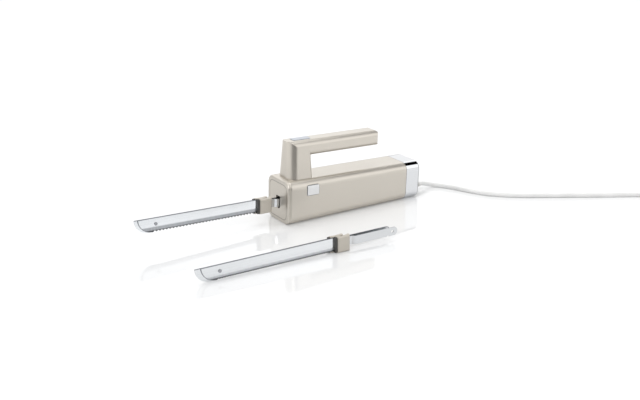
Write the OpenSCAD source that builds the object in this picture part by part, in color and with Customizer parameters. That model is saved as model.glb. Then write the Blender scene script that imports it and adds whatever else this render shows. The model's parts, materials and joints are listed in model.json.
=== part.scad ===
// Electric carving knife: a wedge-shaped motor body with a handle above it and
// a pair of reciprocating blades, with a second pair of blades lying beside it.
// The knife's own X axis runs from the blade tips (-X) to the cord (+X). The
// underside lies on the floor, so the whole knife is tipped by body_tilt.
// The origin is on the underside's centre line, origin_x behind the front face.

/* [Body] */
// Length of the body from its front face to its rear face
body_l = 233.8; // [215:1:260]
// Width of the body
body_w = 60; // [56:0.5:70]
// Height of the body at its front face
body_h = 64.2; // [62:0.2:72]
// Angle between the underside and the line of the blades
body_tilt = 1.72; // [0.5:0.02:2.2]
// Radius of the four long edges
edge_r = 12; // [8:0.5:15]
// Wall of the body sleeve
wall = 2.2; // [1.6:0.1:2.6]
// Depth of the front plate, from its face to the seam
plate_t = 3.2; // [2.5:0.1:5]
// Distance of the front plate's groove from its edge
plate_border = 6; // [4:0.5:8]
// Length of the rear cap
cap_l = 24.6; // [20:0.2:28]

/* [Handle] */
// Front of the handle post where it stands on the body
post_x = 7.9; // [5:0.1:12]
// Length of the post along the body, at its foot
post_l = 39.1; // [36:0.1:46]
// Width of the post
post_w = 39.6; // [36:0.2:44]
// Lean of the post's front
post_lean = 1.85; // [0:0.05:5]
// Draft of the handle's sides, from the post's foot to the grip's top
post_draft = 4.5; // [0:0.25:5.5]
// Radius of the post's front corners
post_r = 14; // [9:0.5:17]
// Radius of the post's rear corners
post_back_r = 6; // [3:0.5:9]
// Height of the handle's top above the knife's axis plane
handle_top = 118.6; // [110:0.2:126]
// Height of the grip from its underside to its top
grip_h = 22.4; // [21:0.2:26]
// Rear end of the grip
grip_end = 164; // [140:1:185]
// Radius along the grip's upper edges
grip_r = 10; // [6:0.5:11]
// Wall of the handle shells
handle_wall = 2.2; // [1.8:0.1:2.6]
// Length of the switch button in the handle's top
switch_l = 29; // [22:0.5:34]
// Width of the switch button
switch_w = 12; // [9:0.5:12.5]
// Travel of the switch button
switch_travel = 2.2; // [1.5:0.1:2.6]

/* [Blade release] */
// Length of each release button
button_l = 20; // [16:0.5:22]
// Height of each release button
button_h = 15; // [12:0.5:17]
// Front end of the release buttons
button_x = 30.8; // [29:0.2:34]
// Middle of the release buttons above the axis plane
button_z = 49.2; // [47.5:0.1:50]
// Travel of each release button
button_travel = 2.4; // [1.5:0.1:2.6]

/* [Blades] */
// Reach of the mounted blades from the front face, at mid stroke
blade_reach = 216.4; // [180:1:235]
// Height of a blade from its teeth to its back
blade_h = 20.2; // [17:0.2:22]
// Thickness of one blade
blade_t = 0.9; // [0.7:0.05:1.1]
// Height of the blades' back above the axis plane
blade_top = 37.8; // [37:0.1:39]
// Pitch of the mounted blades' teeth
tooth_pitch = 4.9; // [3:0.1:7]
// Depth of a tooth
tooth_depth = 2; // [0.8:0.1:2.2]
// Pitch of the second pair's teeth
fine_pitch = 3.6; // [2.4:0.1:6]
// How much longer the second pair's blades are
spare_extra = 12; // [0:1:30]
// Height of a blade's tang
tang_h = 12; // [10:0.2:13]
// Gap between the two tangs
tang_gap = 5.8; // [5:0.2:6.4]
// Length of a blade block
block_l = 22.2; // [20:0.2:28]
// Height of a blade block
block_h = 23; // [21.6:0.2:25]
// Thickness of the pair of blade blocks
block_w = 12.6; // [11:0.2:15]

/* [Drive] */
// Throw of each eccentric, a quarter of the blades' relative stroke
throw = 2.4; // [1.8:0.05:2.6]
// Teeth of the worm wheel
wheel_teeth = 24; // [22:1:25]
// Module of the worm wheel's teeth
gear_module = 0.8; // [0.76:0.01:0.82]
// Pitch radius of the worm
worm_r = 4.4; // [4.2:0.1:4.8]
// Side of the motor's laminated stator
stator_w = 44; // [38:0.5:46]

/* [Cord] */
// Diameter of the mains cord
cord_d = 6.4; // [6:0.1:6.6]
// Mean radius of the coil's outermost turn
coil_r = 45; // [44:0.5:48]
// Turns in each layer of the coil
coil_turns = 2; // [1:0.25:3]

/* [Fits] */
// Running clearance of round parts, in radius
run_fit = 0.04; // [0.02:0.01:0.08]
// Sliding clearance of flat guided parts
slide_fit = 0.12; // [0.08:0.01:0.25]
// Gap round a button in its window
button_gap = 0.5; // [0.35:0.05:0.8]

/* [Hidden] */

$fn = 48;
// Overrun of every cut past the face it opens
over = 1;
// Number large enough to reach past the whole knife
far = 400;

// Colours as the object shows them
champagne = [0.80, 0.77, 0.72];
chrome_grey = [0.86, 0.87, 0.89];
steel = [0.82, 0.83, 0.85];
black = [0.10, 0.10, 0.10];
white = [0.93, 0.93, 0.93];
brass = [0.80, 0.65, 0.35];
copper = [0.72, 0.42, 0.25];
nylon = [0.88, 0.86, 0.78];
board_green = [0.20, 0.42, 0.25];

// Distance from the front face back to the origin
origin_x = 90;
half_w = body_w / 2;
cap_x = body_l - cap_l;
inner_w = half_w - wall;
inner_top = body_h - wall;
// Height of the inner floor at a place along the knife
function floor_at(x) = x * tan(body_tilt) + wall / cos(body_tilt);

// Shifts a piece from the point below the front face to the origin
module from_front() {
  translate([-origin_x, 0, 0]) children();
}

// Tips a piece from the knife's own axes to the floor's
module on_floor() {
  from_front() rotate([0, body_tilt, 0]) children();
}

// Stands a profile drawn as [y, z] along X, from x0 to x1
module along_x(x0, x1) {
  translate([x0, 0, 0]) rotate([90, 0, 90]) linear_extrude(x1 - x0) children();
}

// Stands a profile drawn as [x, z] along Y, from y0 to y1
module along_y(y0, y1) {
  translate([0, y1, 0]) rotate([90, 0, 0]) linear_extrude(y1 - y0) children();
}

// Stands a profile drawn as [x, y] along Z, from z0 to z1
module along_z(z0, z1) {
  translate([0, 0, z0]) linear_extrude(z1 - z0) children();
}

// A rectangle between two corners
module box_2d(low, high) {
  translate(low) square(high - low);
}

// A rectangle between two corners, with rounded corners
module round_2d(low, high, r) {
  translate([low[0] + r, low[1]]) square([high[0] - low[0] - 2 * r, high[1] - low[1]]);
  translate([low[0], low[1] + r]) square([high[0] - low[0], high[1] - low[1] - 2 * r]);
  for (x = [low[0] + r, high[0] - r], y = [low[1] + r, high[1] - r])
    translate([x, y]) circle(r);
}

// A box between two corners
module box_3d(low, high) {
  translate(low) cube(high - low);
}

// A rod along X, Y or Z
module rod_x(x0, x1, y, z, r) {
  translate([x0, y, z]) rotate([0, 90, 0]) cylinder(h = x1 - x0, r = r);
}
module rod_y(x, y0, y1, z, r) {
  translate([x, y1, z]) rotate([90, 0, 0]) cylinder(h = y1 - y0, r = r);
}
module rod_z(x, y, z0, z1, r) {
  translate([x, y, z0]) cylinder(h = z1 - z0, r = r);
}

/* The body */
sleeve_lip = 2.2;
lip_inset = 1.1;
// Small step where a rounded edge meets the long faces
lip_step = 0.04;
seam = 0.5;
sleeve_x = plate_t + seam;
rim = 1.6;

// The wedge between x0 and x1, with every long face moved in by inset
module body_block(x0, x1, inset = 0, corner = edge_r) {
  intersection() {
    along_x(x0, x1)
      round_2d([-half_w + inset, -far / 2], [half_w - inset, body_h - inset], corner);
    rotate([0, -body_tilt, 0]) along_x(-far / 2, far)
      round_2d([-half_w + inset, inset], [half_w - inset, far / 2], corner);
  }
}

// Window that a release button stands in
module button_window(side) {
  low = [button_x - button_gap, button_z - button_h / 2 - button_gap];
  high = [button_x + button_l + button_gap, button_z + button_h / 2 + button_gap];
  mirror([0, side > 0 ? 1 : 0, 0]) along_y(-half_w - over, -inner_w + 4 * over)
    round_2d(low, high, button_r + button_gap);
}

button_r = 2.4;
handle_screw_r = 1.5;
handle_screw_x = [post_x + post_l * 0.32, post_x + post_l * 0.76];
handle_screw_y = post_w * 0.27;
screw_clear = 0.3;
chassis_screw_x = [26, body_l * 0.479];
chassis_screw_y = 17;
chassis_screw_r = 1.5;
pad_r = 4.6;
pad_h = 1.4;
pad_seat = 1.4;
pad_bore_r = 3.1;
flat_head_h = 1.4;
function pad_top(x) = floor_at(x) + pad_h;
vent_x = body_l * 0.53;
vent_count = 9;
vent_pitch = 5;
vent_w = 2.2;
vent_half = 15;
lead_hole_r = 3;
lead_hole_x = post_x + post_l * 0.54;

module body_sleeve() color(champagne) on_floor() {
  difference() {
    union() {
      body_block(sleeve_x + sleeve_lip, cap_x - seam);
      hull() {
        $fn = 32;
        body_block(sleeve_x, sleeve_x + sleeve_lip / 8, lip_inset, edge_r - lip_inset);
        body_block(sleeve_x + sleeve_lip * 0.4, sleeve_x + sleeve_lip * 0.5,
                   lip_inset * 0.3, edge_r - lip_inset * 0.3);
        body_block(sleeve_x + sleeve_lip, sleeve_x + sleeve_lip * 1.3, lip_step, edge_r - lip_step);
      }
    }
    body_block(sleeve_x - over, cap_x + over, wall, edge_r - wall);
    button_window(-1);
    button_window(1);
    for (x = handle_screw_x, y = [-handle_screw_y, handle_screw_y])
      rod_z(x, y, inner_top - over, body_h + over, handle_screw_r + screw_clear);
    rod_z(lead_hole_x, 0, inner_top - over, body_h + over, lead_hole_r);
    rotate([0, -body_tilt, 0])
      for (i = [0 : vent_count - 1])
        along_z(-over, wall + over)
          round_2d([vent_x + i * vent_pitch, -vent_half],
                   [vent_x + i * vent_pitch + vent_w, vent_half], vent_w / 2.01);
    for (x = chassis_screw_x, y = [-chassis_screw_y, chassis_screw_y])
      rod_z(x, y, -over, pad_top(x), pad_bore_r);
  }
  for (x = chassis_screw_x, y = [-chassis_screw_y, chassis_screw_y]) difference() {
    intersection() {
      rod_z(x, y, -over, pad_top(x), pad_r);
      body_block(sleeve_x, cap_x);
    }
    rod_z(x, y, -2 * over, pad_top(x) + over, chassis_screw_r + screw_clear);
    rod_z(x, y, -2 * over, pad_top(x) - pad_seat, pad_bore_r);
  }
}

// Radius of the front plate's outer edge, and the groove in its face
plate_round = 2.8;
groove_w = 0.5;
groove_d = 0.4;
slot_half = 5.4;
slot_low = 19.8;
slot_high = 38.4;
slot_r = 2;
plate_lip = 5;
lip_gap = 0.15;
lip_t = 1.6;

module front_plate() color(champagne) on_floor() {
  difference() {
    union() {
      hull() {
        $fn = 32;
        for (a = [0, 35, 65, 90]) {
          x = plate_round * (1 - cos(a));
          in = plate_round * (1 - sin(a)) + lip_step;
          body_block(x, x + lip_step, in, edge_r - in);
        }
        body_block(plate_round, plate_t, lip_step, edge_r - lip_step);
      }
      difference() {
        body_block(plate_t - over, sleeve_x + plate_lip, wall + lip_gap, edge_r - wall);
        body_block(plate_t, sleeve_x + plate_lip + over, wall + lip_gap + lip_t,
                   edge_r - wall - lip_t);
      }
    }
    along_x(-over, plate_t + over)
      round_2d([-slot_half, slot_low], [slot_half, slot_high], slot_r);
    difference() {
      body_block(-over, groove_d, plate_border, edge_r - plate_border * 0.6);
      body_block(-2 * over, groove_d + over, plate_border + groove_w,
                 edge_r - plate_border * 0.6 - groove_w);
    }
  }
}

cap_wall = 1.8;
end_t = 2.4;
end_inset = 1.2;

module rear_cap() color(chrome_grey) on_floor() {
  difference() {
    union() {
      body_block(cap_x, body_l - rim);
      hull() {
        $fn = 32;
        body_block(body_l - rim * 1.5, body_l - rim, lip_step, edge_r - lip_step);
        body_block(body_l - rim / 10, body_l, rim * 0.7, edge_r - rim * 0.7);
      }
      difference() {
        body_block(cap_x - seam - plate_lip, cap_x + over, wall + lip_gap, edge_r - wall);
        body_block(cap_x - seam - plate_lip - over, cap_x + 2 * over,
                   wall + lip_gap + lip_t, edge_r - wall - lip_t);
      }
    }
    body_block(cap_x + cap_wall, body_l + over, cap_wall, edge_r - cap_wall);
    body_block(cap_x - over, cap_x + 2 * cap_wall, wall + lip_gap + lip_t,
               edge_r - wall - lip_t);
  }
}

gland_drop = 9.2;
gland_z = (gland_drop + body_l * sin(body_tilt)) / cos(body_tilt);
gland_r = 5.2;
gland_l = 24;
gland_seat_r = 4.6;
end_x = body_l - end_inset - end_t;
end_gap = 0.1;
grille_count = 6;
grille_pitch = 4.4;
grille_h = 2;
grille_z = 32;

module end_plate() color(black) on_floor() {
  difference() {
    body_block(end_x, end_x + end_t, cap_wall + end_gap, edge_r - cap_wall);
    rod_x(end_x - over, body_l, 0, gland_z, gland_seat_r + run_fit);
    for (i = [0 : grille_count - 1])
      along_x(end_x - over, end_x + end_t + over)
        round_2d([-vent_half, grille_z + i * grille_pitch],
                 [vent_half, grille_z + i * grille_pitch + grille_h], grille_h / 2.01);
  }
}

/* The handle */
post_back_lean = 2.55;
grip_low_r = 7;
grip_end_r = 7;
grip_inner_r = 5;
seat_gap = 0.02;
post_foot = body_h + seat_gap;

// Half the handle's width at a height, moved in by inset
function handle_half_w(z, inset = 0) =
  post_w / 2 - (z - post_foot) * tan(post_draft) - inset / cos(post_draft);
grip_bottom = handle_top - grip_h;
grip_low_half = handle_half_w(grip_bottom) - grip_low_r;

// A prism that leans with the front and with one side, rounded between the two
module post_side(side, inset) {
  mirror([0, side > 0 ? 1 : 0, 0]) translate([post_x, -post_w / 2, post_foot])
    rotate([-post_draft, post_lean, 0]) along_z(-far / 8, far / 4)
      round_2d([inset, inset], [far, far / 2], post_r - inset);
}

// The same for the rear of the post
module post_rear_side(side, inset) {
  mirror([0, side > 0 ? 1 : 0, 0]) translate([post_x + post_l, -post_w / 2, post_foot])
    rotate([-post_draft, -post_back_lean, 0]) along_z(-far / 8, far / 4)
      round_2d([-far, inset], [-inset, far / 2], post_back_r - inset);
}

// What a rounded corner takes off: p is the corner, a and b its edges' directions
module corner_cut(p, a, b, r) {
  half = acos(a * b) / 2;
  mid = (a + b) / norm(a + b);
  c = p + mid * r / sin(half);
  difference() {
    polygon([p + a * r / tan(half), p - mid * r / 3, p + b * r / tan(half), c]);
    translate(c) circle(r);
  }
}

// The grip seen from its end, as [y, z]: drafted sides with rounded corners
module grip_section(inset) {
  low = grip_bottom + inset;
  top = handle_top - inset;
  low_half = handle_half_w(low, inset);
  top_half = handle_half_w(top, inset);
  difference() {
    polygon([[-low_half, low], [low_half, low], [top_half, top], [-top_half, top]]);
    for (s = [-1, 1]) {
      corner_cut([s * top_half, top], [-s, 0], [s * sin(post_draft), -cos(post_draft)],
                 grip_r - inset);
      corner_cut([s * low_half, low], [-s, 0], [-s * sin(post_draft), cos(post_draft)],
                 grip_low_r - inset);
    }
  }
}

module handle_form(inset, foot) {
  intersection() {
    post_side(-1, inset);
    post_side(1, inset);
    union() {
      intersection() {
        post_rear_side(-1, inset);
        post_rear_side(1, inset);
        box_3d([0, -half_w, foot], [post_x + post_l, half_w, grip_bottom + grip_h / 2]);
      }
      intersection() {
        along_x(0, grip_end - inset) grip_section(inset);
        along_z(grip_bottom - over, handle_top + over)
          round_2d([-far / 4, -handle_half_w(grip_bottom, inset)],
                   [grip_end - inset, handle_half_w(grip_bottom, inset)], grip_end_r - inset);
        along_y(-half_w, half_w)
          round_2d([-far / 4, grip_bottom + inset], [grip_end - inset, handle_top - inset],
                   grip_end_r * 0.8 - inset);
      }
    }
  }
}

// The rounded web in the corner between the post and the grip
module handle_web() {
  x = post_x + post_l - (grip_bottom - post_foot) * tan(post_back_lean);
  along_y(-grip_low_half, grip_low_half) difference() {
    box_2d([x - over, grip_bottom - grip_inner_r], [x + grip_inner_r, grip_bottom + over]);
    translate([x + grip_inner_r, grip_bottom - grip_inner_r]) circle(grip_inner_r);
  }
}

boss_r = 3.4;
boss_h = 16;
switch_x = 21;
switch_gap = 0.4;
switch_t = 4;
switch_r = 3;

module switch_window(grow, z0, z1) {
  along_z(z0, z1)
    round_2d([switch_x - grow, -switch_w / 2 - grow],
             [switch_x + switch_l + grow, switch_w / 2 + grow], switch_r + grow);
}

// Shelf under the switch button that carries its spring and its microswitch
shelf_drop = 14.5;
shelf_z = handle_top - shelf_drop;
shelf_t = 1.8;
shelf_x0 = switch_x - switch_gap;
shelf_x1 = switch_x + switch_l + switch_gap + switch_t;

module handle_half(side) {
  color(champagne) on_floor() intersection() {
    box_3d([0, side < 0 ? -half_w : 0, 0], [grip_end, side < 0 ? 0 : half_w, handle_top + over]);
    union() {
      difference() {
        union() {
          handle_form(0, post_foot);
          handle_web();
        }
        handle_form(handle_wall, post_foot + handle_wall);
        switch_window(switch_gap, handle_top - handle_wall - over, handle_top + over);
        rod_z(lead_hole_x, 0, post_foot - over, post_foot + handle_wall + over, lead_hole_r);
        for (x = handle_screw_x)
          rod_z(x, side * handle_screw_y, post_foot - over, post_foot + handle_wall,
                handle_screw_r + run_fit);
      }
      difference() {
        intersection() {
          handle_form(handle_wall / 2, post_foot);
          union() {
            for (x = handle_screw_x)
              rod_z(x, side * handle_screw_y, post_foot, post_foot + boss_h, boss_r);
            box_3d([shelf_x0, -half_w, shelf_z], [shelf_x1, half_w, shelf_z + shelf_t]);
          }
        }
        for (x = handle_screw_x)
          rod_z(x, side * handle_screw_y, post_foot - over, post_foot + boss_h - wall,
                handle_screw_r + run_fit);
      }
    }
  }
}

module handle_left_half() handle_half(-1);
module handle_right_half() handle_half(1);

head_r = 2.8;
head_h = 1.8;
screw_grip = 12;
recess_r = 1.1;

// A screw standing on z from its seat, head down, with a socket in the head
module screw(shank_r, shank_l, head) {
  difference() {
    union() {
      cylinder(h = shank_l, r = shank_r);
      translate([0, 0, -head]) cylinder(h = head, r = head_r);
    }
    translate([0, 0, -head - over]) cylinder(h = head * 0.6 + over, r = recess_r, $fn = 6);
  }
}

module handle_screws() color(steel) on_floor()
  for (x = handle_screw_x, y = [-handle_screw_y, handle_screw_y])
    translate([x, y, inner_top]) screw(handle_screw_r, wall + screw_grip, head_h);

// Height that the switch button stands above the handle
switch_proud = 0.6;
flange_gap = 0.3;
flange_t = 1.4;
flange_w = 1;
spring_r = 3;
spring_wire = 0.8;
spring_x = switch_x + switch_l * 0.3;
shelf_top = shelf_z + shelf_t;
flange_z = handle_top - handle_wall - flange_gap - flange_t;
plunger_r = 1.6;
micro_l = 12.8;
micro_w = 5.8;
micro_h = 6;
micro_gap = 0.4;
micro_x = switch_x + switch_l * 0.5;
nib_h = 1.2;
nib_x = micro_x + micro_l * 0.3;

module switch_button() color(chrome_grey) on_floor() {
  difference() {
    union() {
      switch_window(0, flange_z + flange_t, handle_top + switch_proud);
      switch_window(switch_gap + flange_w, flange_z, flange_z + flange_t);
    }
    along_z(flange_z - over, handle_top + switch_proud - wall)
      round_2d([switch_x + wall, -switch_w / 2 + wall],
               [switch_x + switch_l - wall, switch_w / 2 - wall], switch_r / 2);
  }
  rod_z(spring_x, 0, flange_z, handle_top, plunger_r);
  rod_z(nib_x, 0, shelf_top + micro_h + nib_h + switch_travel + slide_fit, handle_top, plunger_r);
}

// Coil spring by a helix swept along Z
spring_turns = 4;
spring_steps = 14;
spring_z0 = shelf_top;
spring_z1 = handle_top + switch_proud - wall;
function spring_point(t) = [
  spring_x + spring_r * cos(360 * t), spring_r * sin(360 * t),
  spring_z0 + spring_wire / 2
  + (spring_z1 - spring_z0 - spring_wire) * min(1, max(0, t / spring_turns))
];

module switch_spring() color(steel) on_floor()
  tube([for (i = [0 : spring_turns * spring_steps]) spring_point(i / spring_steps)],
       spring_wire / 2, 6);

module microswitch() color(black) on_floor() {
  difference() {
    box_3d([micro_x, -micro_w / 2, shelf_top], [micro_x + micro_l, micro_w / 2, shelf_top + micro_h]);
    for (x = [micro_x + micro_l * 0.2, micro_x + micro_l * 0.8])
      rod_y(x, -micro_w, micro_w, shelf_top + micro_h * 0.3, micro_h / 6);
  }
  rod_z(nib_x, 0, shelf_top + micro_h - over, shelf_top + micro_h + nib_h, plunger_r / 2);
}

/* The release buttons */
button_proud = 0.7;
button_flange = 1.4;
button_flange_t = 1.4;
button_wall_gap = 0.3;
button_in = inner_w - button_wall_gap;

// Toe of the arm that reaches from a button to the latch on its slider
toe_out = 2.2;
toe_x = button_x + button_l + toe_out;
toe_w = 5;
toe_h = 5;
arm_t = 1.4;
toe_gap = 0.4;

module release_button(side) {
  color(white) on_floor() mirror([0, side > 0 ? 1 : 0, 0]) {
    low = [button_x, button_z - button_h / 2];
    high = [button_x + button_l, button_z + button_h / 2];
    grow = [button_flange, button_flange];
    flange_in = button_in - button_flange_t;
    difference() {
      intersection() {
        along_y(-half_w - 2 * over, -button_in + 4 * over) round_2d(low, high, button_r);
        body_block(button_x - over, button_x + button_l + over, -button_proud, edge_r + button_proud);
      }
      body_block(0, cap_x, half_w - flange_in, edge_r - half_w + flange_in);
    }
    difference() {
      intersection() {
        along_y(-half_w, -button_in + 4 * over)
          round_2d(low - grow, high + grow, button_r + button_flange);
        body_block(0, cap_x, half_w - button_in, edge_r - half_w + button_in);
      }
      body_block(0, cap_x, half_w - flange_in, edge_r - half_w + flange_in);
    }
    box_3d([button_x + button_l - arm_t, -flange_in - arm_t / 2, latch_z - toe_h / 2],
           [toe_x + toe_w, -flange_in + arm_t, low[1] + button_r]);
    box_3d([toe_x, -flange_in, latch_z - toe_h / 2],
           [toe_x + toe_w, -latch_y - latch_t - button_travel - toe_gap, latch_z + toe_h / 2]);
  }
}

module release_button_left() release_button(-1);
module release_button_right() release_button(1);

leaf_t = 0.5;
leaf_h = 6;
leaf_y = button_in - button_flange_t - leaf_t;
leaf_x = button_x + button_l * 0.5;
leaf_arm = body_l * 0.10265;

// One leaf spring bent round the back of both buttons
module release_spring() color(steel) on_floor()
  along_z(button_z - leaf_h / 2, button_z + leaf_h / 2) polygon([
    [leaf_x, -leaf_y - leaf_t], [leaf_x + leaf_arm, -leaf_post_y - leaf_t],
    [leaf_x + leaf_arm, leaf_post_y + leaf_t], [leaf_x, leaf_y + leaf_t], [leaf_x, leaf_y],
    [leaf_x + leaf_arm - leaf_t, leaf_post_y], [leaf_x + leaf_arm - leaf_t, -leaf_post_y],
    [leaf_x, -leaf_y]
  ]);

leaf_post_y = 12;

/* The blades */
joggle_x = 9;
joggle_l = 3;
tang_t = 1;
tang_out = tang_gap / 2 + tang_t;
tang_drop = 3.2;
tang_top = blade_top - tang_drop;
tang_low = tang_top - tang_h;
blade_low = blade_top - blade_h;
blade_gap = 0.12;
tip_l = 20;
bevel_h = 7.6;
edge_t = 0.3;
// Rear face of the blocks, from the front face, at mid stroke
block_rear = -15.4;
block_front = block_rear - block_l;
tang_reach = body_l * 0.2652;
tang_hole_r = 2;
tang_hole_in = 8;
notch_in = 15;
tang_hole_x = tang_reach - tang_hole_in;
notch_r = 1.7;
notch_x = tang_reach - notch_in;
rivet_inset = 25.4;
rivet_z = blade_low + blade_h * 0.56;
rivet_r = 1.5;
rivet_head_r = 2.3;
rivet_head_h = 0.7;
tooth_start = 21.5;
rivet_play = 9.4;
keyhole_r = 3.2;

// Lower edge of the blade: scallops with a point between each two, shallower where they are finer
function scallop(x, pitch, s) = [
  x + pitch * s, blade_low + tooth_depth * pitch / tooth_pitch * (1 - pow(abs(2 * s - 1), 1.3))
];
function tooth_edge(x0, x1, pitch) = [
  for (k = [0 : floor((x1 - x0) / pitch) - 1], s = [0, 0.25, 0.5, 0.75])
    scallop(x0 + k * pitch, pitch, s)
];

// Side of a blade: a quarter of an ellipse at the tip, then the teeth
module blade_side(tip, pitch) {
  teeth_x = tip + tooth_start;
  end_x = block_front + over;
  count = floor((end_x - teeth_x) / pitch);
  polygon(concat(
    [[end_x, blade_top]],
    [for (a = [0 : 9 : 90]) [tip + tip_l * (1 - cos(a)), blade_top - blade_h * sin(a)]],
    tooth_edge(teeth_x, end_x, pitch),
    [[teeth_x + count * pitch, blade_low], [end_x, blade_low]]
  ));
}

module tang_side() {
  difference() {
    union() {
      box_2d([block_front, tang_low], [tang_reach - tang_h / 2, tang_top]);
      intersection() {
        translate([tang_reach - tang_h / 2, (tang_low + tang_top) / 2]) circle(tang_h / 2);
        box_2d([block_front, tang_low], [tang_reach, tang_top]);
      }
    }
    translate([tang_hole_x, (tang_low + tang_top) / 2]) circle(tang_hole_r);
    translate([notch_x, tang_low]) circle(notch_r);
  }
}

// One blade with its tang, drawn on the -Y side of the pair
module blade_form(extra, pitch) {
  tip = -blade_reach - extra;
  joggle_a = block_rear + joggle_x - joggle_l;
  joggle_b = block_rear + joggle_x;
  intersection() {
    along_y(-blade_gap / 2 - blade_t, -blade_gap / 2) blade_side(tip, pitch);
    along_x(tip - over, block_front + 2 * over) polygon([
      [-blade_gap / 2, blade_top + over], [-blade_gap / 2 - blade_t, blade_top + over],
      [-blade_gap / 2 - blade_t, blade_low + bevel_h], [-blade_gap / 2 - edge_t, blade_low - over],
      [-blade_gap / 2, blade_low - over]
    ]);
  }
  intersection() {
    along_y(-tang_out - over, over) tang_side();
    along_z(tang_low - over, tang_top + over) polygon([
      [block_front, -blade_gap / 2], [joggle_a, -blade_gap / 2], [joggle_b, -tang_gap / 2],
      [tang_reach + over, -tang_gap / 2], [tang_reach + over, -tang_out], [joggle_b, -tang_out],
      [joggle_a, -blade_gap / 2 - blade_t], [block_front, -blade_gap / 2 - blade_t]
    ]);
  }
}

// Hole for the rivet in the -Y blade of a pair
module rivet_hole(extra, r) {
  rod_y(-blade_reach - extra + rivet_inset, -blade_t - over, over, rivet_z, r);
}

// Slot for the rivet in the +Y blade, centred on the rivet at mid stroke
module rivet_slot(extra) {
  x = -blade_reach - extra + rivet_inset;
  r = rivet_r + slide_fit;
  along_y(-over, blade_t + over) {
    round_2d([x - rivet_play - r, rivet_z - r], [x + rivet_play + r, rivet_z + r], r / 1.01);
    translate([x + rivet_play + r, rivet_z]) circle(keyhole_r);
  }
}

module left_blade_form(extra, pitch) color(steel)
  difference() {
    blade_form(extra, pitch);
    rivet_hole(extra, rivet_r + run_fit / 2);
  }

module right_blade_form(extra, pitch) color(steel)
  difference() {
    mirror([0, 1, 0]) blade_form(extra, pitch);
    rivet_slot(extra);
  }

module rivet_form(extra) color(chrome_grey) {
  x = -blade_reach - extra + rivet_inset;
  outer = blade_gap / 2 + blade_t;
  rod_y(x, -outer - rivet_head_h / 2, outer + rivet_head_h / 2, rivet_z, rivet_r);
  rod_y(x, -outer - rivet_head_h, -outer, rivet_z, rivet_head_r);
  rod_y(x, outer + slide_fit, outer + rivet_head_h, rivet_z, rivet_head_r);
}

nose_l = 2.6;
nose_in = 0.6;
block_drop = 1.4;
block_low = blade_low - block_drop;
block_edge = 3;
bed_gap = 0.15;

// Outline of a block half seen from the front, drawn on the -Y side
module block_profile(inset) {
  intersection() {
    round_2d([-block_w / 2 + inset, block_low + inset], [block_w / 2 - inset,
             block_low + block_h - inset], block_edge - inset);
    box_2d([-block_w, block_low - over], [-bed_gap, block_low + block_h + over]);
  }
}

// Space round a blade and its tang inside the blocks
module blade_bed() {
  box_3d([block_front - over, -blade_t - blade_gap / 2, blade_low - bed_gap],
         [block_front + 2 * over, over, blade_top + bed_gap]);
  box_3d([block_front - over, -blade_t - blade_gap / 2, tang_low - bed_gap],
         [block_rear + over, over, tang_top + bed_gap]);
}

module nose_form() color(black)
  difference() {
    intersection() {
      along_x(block_front, block_front + nose_l) block_profile(nose_in);
      along_z(block_low - over, block_low + block_h + over)
        round_2d([block_front, -block_w / 2 + nose_in], [block_rear, block_w / 2 - nose_in],
                 nose_l / 2);
    }
    blade_bed();
  }

scoop_r = 34;
scoop_depth = 1.4;
cover_r = 2.6;

module cover_form() color(champagne)
  difference() {
    intersection() {
      along_x(block_front + nose_l, block_rear) block_profile(0);
      along_z(block_low - over, block_low + block_h + over)
        round_2d([block_front + nose_l, -block_w / 2], [block_rear, block_w / 2], cover_r);
    }
    blade_bed();
    rod_y((block_front + nose_l + block_rear) / 2, -block_w, over,
          block_low + block_h + scoop_r - scoop_depth, scoop_r);
  }

// Puts a mounted piece at its rest place: the left one back, the right one forward
module mounted(side) {
  on_floor() translate([-side * throw, 0, 0]) children();
}

module left_blade() mounted(-1) left_blade_form(0, tooth_pitch);
module right_blade() mounted(1) right_blade_form(0, tooth_pitch);
module blade_rivet() mounted(-1) rivet_form(0);
module left_block_nose() mounted(-1) nose_form();
module right_block_nose() mounted(1) mirror([0, 1, 0]) nose_form();
module left_block_cover() mounted(-1) cover_form();
module right_block_cover() mounted(1) mirror([0, 1, 0]) cover_form();

/* The second pair of blades, standing on its blocks with its tip down */
spare_yaw = -2.1;
spare_x = 22;
spare_y = -143;
spare_lead = 3.9;
// Length from the covers' front edge to the teeth behind the tip
tip_span = blade_reach + spare_extra + block_front + nose_l - tooth_start;
spare_pitch = asin((blade_low - block_low) / tip_span);

module spare(side) {
  pivot = block_front + nose_l - spare_lead;
  from_front() translate([spare_x, spare_y, 0]) rotate([0, 0, spare_yaw])
    translate([pivot - block_rear, 0, 0]) rotate([0, -spare_pitch, 0])
      translate([-pivot - side * spare_lead, 0, -block_low]) children();
}

module spare_left_blade() spare(-1) left_blade_form(spare_extra, fine_pitch);
module spare_right_blade() spare(1) right_blade_form(spare_extra, fine_pitch);
module spare_rivet() spare(-1) rivet_form(spare_extra);
module spare_left_nose() spare(-1) nose_form();
module spare_right_nose() spare(1) mirror([0, 1, 0]) nose_form();
module spare_left_cover() spare(-1) cover_form();
module spare_right_cover() spare(1) mirror([0, 1, 0]) cover_form();

/* The drive */
wheel_x = body_l * 0.3935;
wheel_z = 20;
wheel_t = 5;
wheel_r = wheel_teeth * gear_module / 2;
gear_pitch = PI * gear_module;
addendum = gear_module * 0.8;
dedendum = gear_module * 1.15;
// Half the thickness of a tooth at the pitch line, with the backlash taken off
tooth_half = gear_pitch * 0.18;
flank = tan(20);
shaft_z = wheel_z + wheel_r + worm_r;
shaft_r = 2.5;
cam_r = 4.8;
cam_t = 3.8;
axle_r = 1.6;
axle_half = 10.2;
cheek_y = 7.2;
cheek_t = 3;
cheek_l = 16;

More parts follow.
